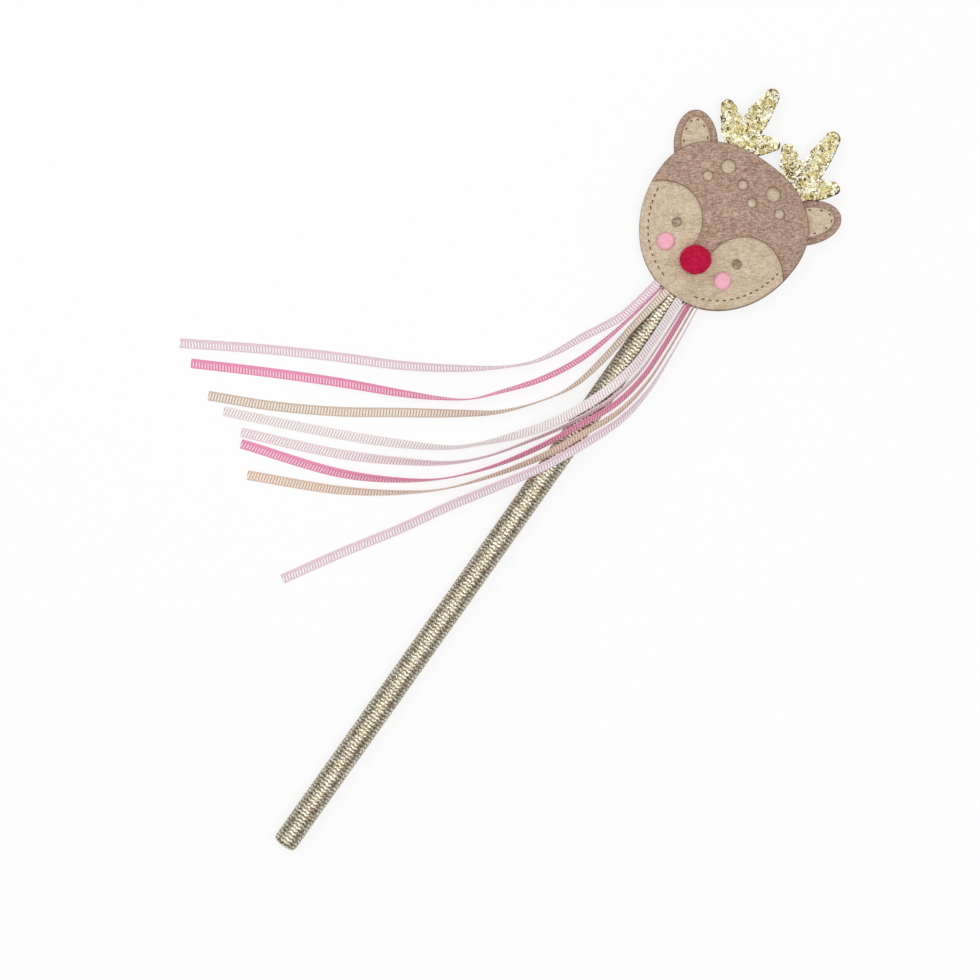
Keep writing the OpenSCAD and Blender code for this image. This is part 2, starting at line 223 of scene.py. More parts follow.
@cache
def fibre_group() -> Tree:
    """Matted fibres for felt and filling: streaks along the grain, clouds, and painted shade along the
    cut edge.

    Returns:
        The node group.
    """
    tree, given, result = new_group("matted_fibres", ("Dark", "Middle", "Light", "Edge"), ("Streak",))
    turn = {"Vector": object_place(tree), "Angle": -GRAIN_TURN}
    place = add(tree, "VectorRotate", turn, rotation_type="Z_AXIS").outputs[0]
    waver = noise_at(tree, place, BENDS, Detail=2.0).node.outputs["Color"]
    bent = vector_math(tree, "ADD", place, vector_math(tree, "MULTIPLY", waver, FIBRE_BEND))
    streaks, crossings = (noise_at(tree, bent, grains, Detail=3.0, Roughness=0.65)
                          for grains in (STREAKS, CROSSINGS))
    across = scalar_math(tree, "MULTIPLY", crossings, 1 - STREAK_SHARE)
    grain = scalar_math(tree, "MULTIPLY_ADD", streaks, STREAK_SHARE, across)
    clouds = mapped(tree, noise_at(tree, place, CLOUDS, Detail=3.0), CLOUD_SPREAD)
    base = mixed(tree, clouds, given.outputs["Dark"], given.outputs["Middle"])
    pull = scalar_math(tree, "MULTIPLY", mapped(tree, grain, GRAIN_SPREAD), given.outputs["Streak"])
    fibres = mixed(tree, pull, base, given.outputs["Light"])
    # Painted shade: the fibres darken towards the cut edge, where the felt's step lies in shade
    colour = mixed(tree, marked(tree, "edge_shade_mask"), fibres, given.outputs["Edge"])
    feed(tree, result, {"Color": colour, "Height": grain})
    return tree


# Ribbon weave: share of a rib's wave and of the noise on its painted highlight that shows, the line of
# painted shade along the edges, and threads to the pitch
RIB_SPREAD, GLINT_NOISE_SPREAD = (0.18, 0.55), (0.1, 0.5)
BAND_BLUR = (-0.02, 0.02)
SHADE_LINE_SPREAD, SHADE_LINE_SHARE = (0.475, 0.5), 0.5
RIB_GLINT_NOISE, RIB_THREADS = (1.6, 9.0, 1.0), (1.2, 46.0, 1.0)


@cache
def grosgrain_group() -> Tree:
    """Ribs across a band of a ribbon, between plain woven edges, from a UV map in rib pitches. The rib
    crests carry a painted highlight and the grooves painted shade, and a thin line of painted shade
    runs along both edges.

    Returns:
        The node group.
    """
    tree, given, result = new_group("grosgrain_weave", ("Rib", "Groove", "Selvedge"),
                                    ("Band Low", "Band High"))
    place = add(tree, "UVMap", uv_map="UVMap").outputs[0]
    along, across, _ = add(tree, "SeparateXYZ", {0: place}).outputs
    turn = scalar_math(tree, "COSINE", scalar_math(tree, "MULTIPLY", along, FULL_TURN))
    wave = mapped(tree, scalar_math(tree, "MULTIPLY_ADD", turn, 0.5, 0.5), RIB_SPREAD)
    glint_noise = mapped(tree, noise_at(tree, place, RIB_GLINT_NOISE, Detail=3.0), GLINT_NOISE_SPREAD)
    below = scalar_math(tree, "SUBTRACT", given.outputs["Band Low"], across)
    above = scalar_math(tree, "SUBTRACT", across, given.outputs["Band High"])
    edge = mapped(tree, scalar_math(tree, "MAXIMUM", below, above), BAND_BLUR)
    out = scalar_math(tree, "ABSOLUTE", scalar_math(tree, "SUBTRACT", across, 0.5))
    line = scalar_math(tree, "MULTIPLY", mapped(tree, out, SHADE_LINE_SPREAD), SHADE_LINE_SHARE)
    # Painted highlight on the rib crests, made patchy by a noise, over the grooves' painted shade
    rib = scalar_math(tree, "MULTIPLY", wave, glint_noise)
    colour = mixed(tree, rib, given.outputs["Groove"], given.outputs["Rib"])
    colour = mixed(tree, edge, colour, given.outputs["Selvedge"])
    # Thin line of painted shade along both edges
    colour = mixed(tree, line, colour, given.outputs["Groove"])
    feed(tree, result, {"Color": colour, "Height": noise_at(tree, place, RIB_THREADS, Detail=2.0)})
    return tree


def feed_from_group(tree: Tree, shader: Node, group: Tree, values: dict, relief: Range) -> None:
    """Gives a shader its colour and its bump from a node group.

    Args:
        tree: The material's node tree.
        shader: The material's shader.
        group: The node group.
        values: The group's inputs.
        relief: Strength and distance of the bump.
    """
    made = add(tree, "Group", values, node_tree=group)
    normal = bump(tree, made.outputs["Height"], *relief)
    feed(tree, shader, {"Base Color": made.outputs["Color"], "Normal": normal})


@dataclass(frozen=True)
class Finish:
    """What a piece is made of, under the record's slot name."""

    slot: str

    @cache
    def material(self) -> Material:
        """The finish's material, made once.

        Returns:
            The material.
        """
        material, tree, shader = plain_material(f"{self.slot}{LOOK}")
        self.dress(tree, shader)
        return material

    def dress(self, tree: Tree, shader: Node) -> None:
        """Gives the shader its inputs, in the way of each kind of finish."""
        raise NotImplementedError


@dataclass(frozen=True)
class Felt(Finish):
    """Felt or another matted fibre."""

    dark: Color
    middle: Color
    light: Color
    # Colour of the painted shade along the cut edges
    edge: Color
    streak: float = 0.8
    sheen: float = 0.06
    relief: Range = (0.55, 0.4 * MM)

    def dress(self, tree: Tree, shader: Node) -> None:
        """Mats the fibres over the shader.

        Args:
            tree: The material's node tree.
            shader: The material's shader.
        """
        values = {"Dark": self.dark, "Middle": self.middle, "Light": self.light, "Edge": self.edge,
                  "Streak": self.streak}
        feed_from_group(tree, shader, fibre_group(), values, self.relief)
        feed(tree, shader, {"Roughness": 0.95, "Specular IOR Level": 0.15,
                            "Sheen Weight": self.sheen, "Sheen Roughness": 0.5})


@dataclass(frozen=True)
class Grosgrain(Finish):
    """A ribbon's colours, with a painted highlight on the ribs and painted shade in the grooves, and
    the band across it that is ribbed.
    """

    # Painted highlight of the rib crests, the grooves' colour darkened as painted shade, and the plain
    # edges' own colour
    rib: Color
    groove: Color
    selvedge: Color
    band: Range
    relief: Range = (0.25, 0.1 * MM)

    def dress(self, tree: Tree, shader: Node) -> None:
        """Weaves the ribs over the shader.

        Args:
            tree: The material's node tree.
            shader: The material's shader.
        """
        values = {"Rib": self.rib, "Groove": self.groove, "Selvedge": self.selvedge,
                  "Band Low": self.band[0], "Band High": self.band[1]}
        feed_from_group(tree, shader, grosgrain_group(), values, self.relief)
        feed(tree, shader, {"Roughness": 0.55, "Sheen Weight": 0.15})


@dataclass(frozen=True)
class Grain(Finish):
    """A plain stuff whose tone varies with one noise."""

    grains: Triple
    detail: float
    dark: Color
    light: Color
    roughness: float
    spread: Range = (0.0, 1.0)

    def dress(self, tree: Tree, shader: Node) -> None:
        """Mixes two tones on the shader.

        Args:
            tree: The material's node tree.
            shader: The material's shader.
        """
        grain = noise_at(tree, object_place(tree), self.grains, Detail=self.detail)
        tone = mapped(tree, grain, self.spread)
        feed(tree, shader, {"Base Color": mixed(tree, tone, self.dark, self.light),
                            "Roughness": self.roughness})


@dataclass(frozen=True)
class GoldFabric(Finish):
    """Gold metallic fabric: bright flecks on the ridges, brown in the gaps between rows."""

    slot: str = "gold_fabric"
    dull: Color = srgb(162, 132, 92)
    bright: Color = srgb(253, 255, 234)
    gap: Color = srgb(86, 56, 36)
    flecks: Triple = (900, 1700, 900)
    fleck_spread: Range = (0.4, 0.56)
    rough_rise: float = 0.3
    rough_from: float = 0.14
    metallic: float = 0.72
    relief: Range = (0.6, 0.4 * MM)

    def dress(self, tree: Tree, shader: Node) -> None:
        """Scatters the flecks over the shader and darkens its gaps.

        Args:
            tree: The material's node tree.
            shader: The material's shader.
        """
        fleck = noise_at(tree, object_place(tree), self.flecks, Detail=3.0, Roughness=0.7)
        gold = mixed(tree, mapped(tree, fleck, self.fleck_spread), self.dull, self.bright)
        rough = scalar_math(tree, "MULTIPLY_ADD", fleck, self.rough_rise, self.rough_from)
        feed(tree, shader, {"Base Color": mixed(tree, marked(tree, "row_gap"), gold, self.gap),
                            "Roughness": rough, "Metallic": self.metallic,
                            "Normal": bump(tree, fleck, *self.relief)})


@dataclass(frozen=True)
class Glitter(Finish):
    """Coarse gold glitter: each flake has its own tone, the brightest ones near white as painted
    glints, and the cut edge is dark, partly the fabric's own edge and partly painted shade.
    """

    slot: str = "gold_glitter"
    # Tones of the flakes from dark to bright; the near-white end stands for painted glints
    tones: tuple[tuple[float, Color], ...] = (
        (0.0, srgb(84, 58, 26)), (0.18, srgb(142, 110, 52)), (0.4, srgb(218, 202, 132)),
        (0.72, srgb(246, 238, 188)), (1.0, srgb(255, 254, 244)))
    # Colour of the dark cut edge: partly the fabric's own edge, partly painted shade
    edge: Color = srgb(74, 52, 30)
    metallic: float = 0.18
    roughness: float = 0.3
    grains: Triple = (2600, 2600, 2600)
    relief: Range = (0.4, 0.3 * MM)

    def dress(self, tree: Tree, shader: Node) -> None:
        """Tones the shader flake by flake.

        Args:
            tree: The material's node tree.
            shader: The material's shader.
        """
        ramp = add(tree, "ValToRGB", {"Fac": marked(tree, "flake_tone")})
        elements = ramp.color_ramp.elements
        while len(elements) < len(self.tones):
            elements.new(0.5)
        for element, (position, colour) in zip(elements, self.tones):
            element.position = position
            element.color = colour
        grain = noise_at(tree, object_place(tree), self.grains, Detail=1.0)
        colour = mixed(tree, marked(tree, "edge_shade_mask"), ramp.outputs["Color"], self.edge)
        feed(tree, shader, {"Base Color": colour, "Metallic": self.metallic,
                            "Roughness": self.roughness, "Normal": bump(tree, grain, *self.relief)})


# Felts and fibres: dark, middle and light fibres, then the colour of the painted shade along the cut
# edges
BROWN_FELT = Felt("brown_felt", srgb(140, 107, 90), srgb(166, 133, 114), srgb(218, 194, 176),
                  srgb(92, 66, 52))
BEIGE_FELT = Felt("beige_felt", srgb(185, 160, 132), srgb(208, 186, 158), srgb(240, 226, 205),
                  srgb(136, 108, 86), 0.7)
PINK_FELT = Felt("pink_felt", srgb(250, 170, 190), srgb(255, 190, 206), srgb(255, 212, 222),
                 srgb(226, 136, 160), 0.5)
POMPOM = Felt("pompom", srgb(196, 8, 60), srgb(220, 16, 76), srgb(236, 58, 108), srgb(170, 4, 50), 0.5,
              0.0)
FILLING = Felt("fibre", srgb(222, 220, 214), srgb(240, 238, 234), srgb(250, 250, 248),
               srgb(230, 228, 224), 0.5)

# Ribbons: painted highlight of the ribs, the grooves' colour darkened as painted shade, the plain
# edges' own colour, and the ribbed band
LIGHT_PINK = Grosgrain("ribbon_light_pink", srgb(255, 250, 252), srgb(214, 176, 192),
                       srgb(233, 203, 214), (0.12, 0.68))
HOT_PINK = Grosgrain("ribbon_hot_pink", srgb(255, 208, 224), srgb(216, 108, 152), srgb(238, 144, 182),
                     (0.12, 0.66))
BEIGE = Grosgrain("ribbon_beige", srgb(250, 241, 228), srgb(188, 162, 138), srgb(212, 190, 168),
                  (0.12, 0.82))
WHITE = Grosgrain("ribbon_white", srgb(255, 254, 254), srgb(212, 188, 190), srgb(242, 228, 229),
                  (0.12, 0.84))
PALE_PINK = Grosgrain("ribbon_pale_pink", srgb(255, 252, 252), srgb(216, 182, 190),
                      srgb(240, 216, 222), (0.12, 0.8))
PEACH = Grosgrain("ribbon_peach", srgb(252, 240, 224), srgb(206, 164, 142), srgb(228, 194, 174),
                  (0.12, 0.82))

WOOD = Grain("wood", (900, 40, 900), 3.0, srgb(196, 160, 112), srgb(226, 196, 150), 0.7, (0.3, 0.7))
GLUE = Grain("glue", (500,) * 3, 2.0, srgb(228, 220, 196), srgb(246, 240, 224), 0.4)
THREAD = Grain("thread", (3500,) * 3, 2.0, srgb(78, 52, 36), srgb(122, 90, 66), 0.8)
# The backing's dark colour also draws the line of painted shade where it peeks out
ANTLER_BACKING = Grain("antler_backing", (1800,) * 3, 3.0, srgb(70, 50, 30), srgb(110, 84, 52), 0.9)
GOLD_FABRIC = GoldFabric()
GOLD_GLITTER = Glitter()


def mesh_object(name: str, points: Sequence, faces: Sequence, material: Material) -> Piece:
    """Makes a smooth-shaded mesh object.

    Args:
        name: The piece's name.
        points: Vertex places in metres.
        faces: Vertex numbers of each face.
        material: The finish.

    Returns:
        The new object, linked to the scene.
    """
    mesh = bpy.data.meshes.new(name)
    mesh.from_pydata([tuple(p) for p in points], [], [tuple(f) for f in faces])
    mesh.materials.append(material)
    mesh.shade_smooth()
    return linked(name, mesh)


def linked(name: str, data: bpy.types.ID) -> Piece:
    """Makes an object of a mesh, light or camera and links it to the scene.

    Args:
        name: The object's name.
        data: What it shows.

    Returns:
        The new object.
    """
    piece = bpy.data.objects.new(name, data)
    bpy.context.scene.collection.objects.link(piece)
    return piece


def mark(piece: Piece, name: str, values: Sequence[float]) -> None:
    """Keeps one number for each vertex, for the shader to read."""
    layer = piece.data.attributes.new(name, "FLOAT", "POINT")
    layer.data.foreach_set("value", np.asarray(values, np.float32))


def listed(piece: Piece, finish: Finish, *nodes: str) -> None:
    """Hides the CAD nodes that a piece stands for, and reports the piece with its slot.

    Args:
        piece: The piece.
        finish: Its finish, which has the record's slot name.
        nodes: The CAD nodes that it stands for.
    """
    if nodes:
        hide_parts(*nodes)
    LOG.info("%s: %d faces, slot %s", piece.name, len(piece.data.polygons), finish.slot)


def settle(piece: Piece, finish: Finish, *nodes: str) -> None:
    """Puts a piece on the wand itself, in place of CAD nodes."""
    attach(piece, ROOT_BODY)
    listed(piece, finish, *nodes)


def tube_faces(rings: int, sides: int, first: int = 0) -> list[tuple[int, ...]]:
    """Faces of a closed tube of rings, with both ends capped.

    Args:
        rings: Number of rings.
        sides: Points in a ring.
        first: Number of the tube's first point.

    Returns:
        Vertex numbers of each face.
    """
    faces: list[tuple[int, ...]] = []
    for i in range(rings - 1):
        for j in range(sides):
            a, b = first + i * sides + j, first + i * sides + (j + 1) % sides
            faces.append((a, b, b + sides, a + sides))
    faces.append(tuple(first + j for j in reversed(range(sides))))
    faces.append(tuple(first + (rings - 1) * sides + j for j in range(sides)))
    return faces


def run_of(points: np.ndarray) -> np.ndarray:
    """Length of a line of points up to each of them."""
    return np.concatenate([[0], np.cumsum(np.linalg.norm(np.diff(points, axis=0), axis=1))])


def along_line(places: np.ndarray, run: np.ndarray, line: np.ndarray) -> np.ndarray:
    """Values of a line's columns at places on its length."""
    return np.stack([np.interp(places, run, line[:, c]) for c in range(line.shape[1])], axis=1)


@dataclass
class Studio:
    """Camera, lights, floor and background."""

    look_at: Triple = (-14.6 * MM, -16.6 * MM, 6 * MM)
    image_right: Triple = (0.8163, 0.5777, 0.0)
    image_up: Triple = (-0.5777, 0.8163, 0.0)
    frame_width: float = 0.392
    distance: float = 1.3
    sensor: float = 36.0
    key_place: Triple = (-0.75, 0.2, 1.0)
    key_size: float = 0.7
    key_power: float = 2.9
    fill_place: Triple = (0.3, 0.05, 1.6)
    fill_size: float = 1.0
    fill_power: float = 9.0
    floor_size: float = 6.0
    floor_drop: float = 0.05 * MM
    floor_glow: float = 0.8
    room_light: float = 0.52
    room_glint: float = 0.12
    overhead_glint: float = 0.9
    overhead_from: Range = (0.62, 0.8)

    def build_camera(self) -> None:
        """Sets a long lens straight above the wand."""
        data = bpy.data.cameras.new("camera")
        data.sensor_width = self.sensor
        data.lens = self.sensor * self.distance / self.frame_width
        camera = linked("camera", data)
        turn = Matrix((self.image_right, self.image_up, (0.0, 0.0, 1.0))).transposed()
        stand = Vector(self.look_at) + Vector((0, 0, self.distance))
        camera.matrix_world = Matrix.Translation(stand) @ turn.to_4x4()
        bpy.context.scene.camera = camera

    def area_light(self, name: str, place: Triple, size: float, power: float) -> None:
        """Adds a square soft light that faces the wand.

        Args:
            name: The light's name.
            place: Where it stands.
            size: Length of its sides.
            power: Its power in watts.
        """
        data = bpy.data.lights.new(name, "AREA")
        data.shape = "SQUARE"
        data.size = size
        data.energy = power
        light = linked(name, data)
        light.location = place
        aim = Vector(self.look_at) - Vector(place)
        light.rotation_euler = aim.to_track_quat("-Z", "Y").to_euler()

    def build_floor(self) -> None:
        """Lays a pale floor that looks white and keeps the shadow."""
        material, tree, shader = plain_material("floor")
        feed(tree, shader, {"Base Color": PURE_WHITE, "Roughness": 0.9, "Specular IOR Level": 0.0})
        glow = add(tree, "Emission", {"Color": PURE_WHITE, "Strength": 1.0})
        camera_ray = add(tree, "LightPath").outputs["Is Camera Ray"]
        seen = scalar_math(tree, "MULTIPLY", camera_ray, self.floor_glow)
        both = add(tree, "MixShader", {0: seen, 1: shader.outputs[0], 2: glow.outputs[0]})
        feed(tree, tree.nodes["Material Output"], {"Surface": both.outputs[0]})
        corners = np.array([(-1, -1, 0), (1, -1, 0), (1, 1, 0), (-1, 1, 0)]) * self.floor_size / 2
        floor = mesh_object("floor", corners, [(0, 1, 2, 3)], material)
        floor.location.z = -self.floor_drop

    def build_world(self) -> None:
        """Lights the room evenly, glints from overhead, and shows white beyond the floor."""
        world = bpy.data.worlds.new("studio")
        bpy.context.scene.world = world
        world.use_nodes = True
        tree = world.node_tree
        base = tree.nodes["Background"]
        feed(tree, base, {"Color": PURE_WHITE, "Strength": self.room_light})
        way = add(tree, "TexCoord").outputs["Generated"]
        height = mapped(tree, add(tree, "SeparateXYZ", {0: way}).outputs["Z"], self.overhead_from)
        above = scalar_math(tree, "MULTIPLY_ADD", height, self.overhead_glint, self.room_glint)
        dim = add(tree, "Background", {"Color": PURE_WHITE, "Strength": above})
        white = add(tree, "Background", {"Color": PURE_WHITE, "Strength": 1.0})
        shown = base
        ray = add(tree, "LightPath")
        for kind, other in (("Is Glossy Ray", dim), ("Is Camera Ray", white)):
            shares = {0: ray.outputs[kind], 1: shown.outputs[0], 2: other.outputs[0]}
            shown = add(tree, "MixShader", shares)
        feed(tree, tree.nodes["World Output"], {"Surface": shown.outputs[0]})

    def build_light(self) -> None:
        """Sets the lights, floor, background and plain view settings."""
        self.area_light("key", self.key_place, self.key_size, self.key_power)
        self.area_light("fill", self.fill_place, self.fill_size, self.fill_power)
        self.build_floor()
        self.build_world()
        bpy.context.scene.view_settings.view_transform = "Standard"


# Each ribbon's way from the neck to its end, as in the part's source: X, Y, Z in mm, roll in degrees
ROUTES: tuple[tuple[tuple[float, float, float, float], ...], ...] = (
    ((-7.8, 89.2, 6.4, -30), (-11.6, 71, 5.4, -30), (-19.6, 55, 3.8, -40), (-25.6, 42.4, 2.8, -60),
     (-30.6, 34.8, 2.2, -75), (-39.2, 26.4, 2.1, -75), (-52.4, 16.4, 1.8, -45), (-72.8, 3.6, 1, -20),
     (-94.8, -8, 0.5, -5), (-120, -22, 0.4, 0), (-150.4, -40.4, 0.4, 0)),
    ((-5.5, 88.7, 7, -80), (-8.8, 71, 5.4, -75), (-15, 48, 3.6, -55), (-23.2, 32, 2.6, -55),
     (-33.6, 18.4, 2.3, -70), (-42.4, 8.4, 2.2, -85), (-52, 2, 2.1, -70), (-66.4, -5.6, 1.6, -40),
     (-89.2, -16.4, 0.9, -15), (-114.8, -29.6, 0.4, 0), (-142, -44.4, 0.4, 0)),
    ((-2.9, 88.5, 9.9, -31), (-5.6, 70.8, 7.8, -45), (-7.8, 52.4, 5.4, -50), (-11, 38, 3.4, -65),
     (-15.8, 28.4, 2.3, -85), (-29.2, 11.6, 2.1, -70), (-42.4, 1.4, 1.6, -40), (-62, -12, 0.8, -10),
     (-82.4, -26, 0.4, 0), (-106.4, -40, 0.4, 0), (-128.8, -51, 0.4, 0)),
    ((3.1, 88.5, 9.8, 33), (4, 68.4, 9.6, 35), (3.8, 56.8, 10.2, 25), (0, 40.8, 11, 0),
     (-8.4, 22, 9, -15), (-17.2, 9.2, 5, -30), (-28.4, -3.6, 2.4, -70), (-37.6, -12, 2.2, -65),
     (-54.9, -22.3, 1.4, -30), (-77.7, -33.7, 0.5, -5), (-120.2, -52.6, 0.4, 0)),
    ((5.9, 88.7, 6.8, 80), (6.9, 68, 8.4, 80), (6.8, 56, 10.6, 75), (3.8, 40.8, 12.4, 70),
     (-4.6, 22.4, 12, 70), (-13, 8.6, 8, 75), (-24, -7, 3, 80), (-34.8, -17.6, 2.2, 70),
     (-51.3, -28.3, 1.6, 40), (-73.2, -40.1, 0.8, 10), (-109.6, -55.4, 0.4, 0)),
    ((7.6, 89, 6, 60), (9, 70, 7, 60), (9.2, 56, 9, 60), (6.6, 41, 11, 55),
     (-1.6, 22.4, 12.4, 55), (-10, 6, 9.5, 60), (-20, -9.4, 5, 75), (-32.6, -23.7, 2.3, 85),
     (-47.1, -34.7, 2, 60), (-67.8, -45.9, 1.2, 25), (-107, -59.2, 0.4, 0)),
    ((9.6, 89.6, 5.6, 80), (11.4, 70, 6, 80), (11.8, 54, 8, 75), (9.4, 39, 10.5, 62),
     (2.2, 22, 12.2, 50), (-5.4, 6.4, 10.8, 50), (-17.6, -12, 6, 70), (-30, -27, 2.4, 85),
     (-43.6, -38.4, 2.1, 65), (-64, -51.6, 1.4, 30), (-97.6, -68, 0.4, 0)),
    ((11.2, 90, 5.2, 85), (13.4, 70, 4.8, 82), (14.2, 52, 6.6, 68), (12, 37, 9.4, 48),
     (5.3, 19.8, 12, 30), (-2.3, 3.8, 11, 25), (-13.4, -14.2, 7, 22), (-24.6, -32, 3.4, 18),
     (-35, -50, 1.5, 12), (-49.2, -72.4, 0.6, 5), (-62, -94, 0.4, 0)),
)
# Spacing of a smooth line's knots, as a power of the distance between its points
KNOT_POWER = 0.5
SAMPLES_PER_SPAN = 60


def smooth_line(points: np.ndarray, step: float) -> np.ndarray:
    """Runs a smooth line through points and spaces it evenly.

    Args:
        points: Points to pass through, with X, Y and Z first and any other values after them.
        step: Spacing along the line.

    Returns:
        The points of the line, with the same columns.
    """
    p = np.vstack([2 * points[0] - points[1], points, 2 * points[-1] - points[-2]])
    gaps = np.linalg.norm(np.diff(p[:, :3], axis=0), axis=1)
    knots = np.concatenate([[0], np.cumsum(gaps ** KNOT_POWER)])
    fine: list[np.ndarray] = []
    for i in range(1, len(p) - 2):
        t = np.linspace(knots[i], knots[i + 1], SAMPLES_PER_SPAN, endpoint=False)[:, None]
        level = list(p[i - 1:i + 3])
        for ends in (((-1, 0), (0, 1), (1, 2)), ((-1, 1), (0, 2)), ((0, 1),)):
            spans = [(knots[i + a], knots[i + b]) for a, b in ends]
            level = [((high - t) * level[n] + (t - low) * level[n + 1]) / (high - low)
                     for n, (low, high) in enumerate(spans)]
        fine.append(level[0])
    line = np.vstack(fine + [points[-1:]])
    run = run_of(line[:, :3])
    return along_line(np.linspace(0, run[-1], max(2, round(run[-1] / step) + 1)), run, line)


@dataclass
class Ribbon:
    """A narrow ribbed ribbon that leaves the neck and lies loose on the table."""

    number: int
    tint: Grosgrain
    slant: float
    width: float = 3.8 * MM
    thickness: float = 0.5 * MM
    rib_pitch: float = 1.2 * MM
    samples_per_rib: int = 4
    ribbed_columns: int = 5
    rib_level: float = 0.62
    rib_swing: float = 0.38
    plain_level: float = 0.72
    edge_level: float = 0.35
    edge_place: float = 0.95
    band_step: float = 0.06
    tuck: float = 5 * MM
    tuck_share: float = 0.25
    bend_from: float = 0.7
    bend_length: float = 14 * MM
    table_gap: float = 0.05 * MM
    path_step: float = 6 * MM

    def columns(self) -> list[tuple[float, bool]]:
        """Places across the ribbon from -1 to 1, each with whether it lies on the ribs.

        Returns:
            The places in order.
        """
        low, high = (2 * share - 1 for share in self.tint.band)
        shares = np.linspace(0, 1, self.ribbed_columns)
        ribbed = [(low + (high - low) * share, True) for share in shares]
        before = [(place, False) for place in (-1.0, -self.edge_place, low - self.band_step)]
        after = [(place, False) for place in (high + self.band_step, self.edge_place, 1.0)]
        return before + ribbed + after

    def line(self) -> np.ndarray:
        """The ribbon's centre line in metres with its roll in radians, starting inside the neck.

        Returns:
            Rows of X, Y, Z and roll.
        """
        route = np.array(ROUTES[self.number - 1], float) * (MM, MM, MM, math.pi / 180)
        back = route[0, :3] - route[1, :3]
        start = route[0].copy()
        start[:3] += back / np.linalg.norm(back) * self.tuck
        line = smooth_line(np.vstack([start, route]), self.rib_pitch / self.samples_per_rib)
        rise, lie = np.abs(np.sin(line[:, 3])), np.abs(np.cos(line[:, 3]))
        clear = self.width / 2 * rise + self.thickness / 2 * lie
        line[:, 2] = np.maximum(line[:, 2], clear + self.table_gap)
        return line

    def build(self) -> None:
        line = self.line()
        spots, roll = line[:, :3], line[:, 3:4]
        ahead = np.gradient(spots, axis=0)
        ahead /= np.linalg.norm(ahead, axis=1, keepdims=True)
        side = np.cross(ahead, (0.0, 0.0, 1.0))
        side /= np.linalg.norm(side, axis=1, keepdims=True)
        up = np.cross(side, ahead)
        wide = side * np.cos(roll) + up * np.sin(roll)
        thick = up * np.cos(roll) - side * np.sin(roll)
        run = np.arange(len(line)) / self.samples_per_rib
        inside = np.clip(run * self.rib_pitch / self.tuck, 0, 1)
        half = (self.width / 2 * (self.tuck_share + (1 - self.tuck_share) * inside))[:, None]
        across = self.columns()
        columns = [(*c, 1.0) for c in across] + [(*c, -1.0) for c in reversed(across)]
        rings = []
        for c, ribbed, face in columns:
            if ribbed:
                level = self.rib_level + self.rib_swing * np.cos(FULL_TURN * (run + self.slant * c))
            else:
                level = np.full(len(line), self.edge_level if abs(c) == 1 else self.plain_level)
            lift = thick * (face * level * self.thickness / 2)[:, None]
            rings.append(spots + wide * c * half + lift)
        points = np.stack(rings, axis=1).reshape(-1, 3)
        faces = tube_faces(len(line), len(columns))
        piece = mesh_object(f"streamer_{self.number}", points, faces, self.tint.material())
        corner = np.empty(len(piece.data.loops), np.int64)
        piece.data.loops.foreach_get("vertex_index", corner)
        place = np.array([c for c, _, _ in columns])[corner % len(columns)]
        along = run[corner // len(columns)] + self.slant * place
        weave = np.stack([along, (place + 1) / 2], axis=1).astype(np.float32)
        piece.data.uv_layers.new(name="UVMap").data.foreach_set("uv", weave.ravel())
        self.declare(piece)

    def declare(self, piece: Piece) -> None:
        """Bakes the ribbon's place into its mesh, hides its CAD node and reports the ribbon.

        Args:
            piece: The ribbon's object.
        """
        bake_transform(piece)
        listed(piece, self.tint, f"ribbon_{self.number}")


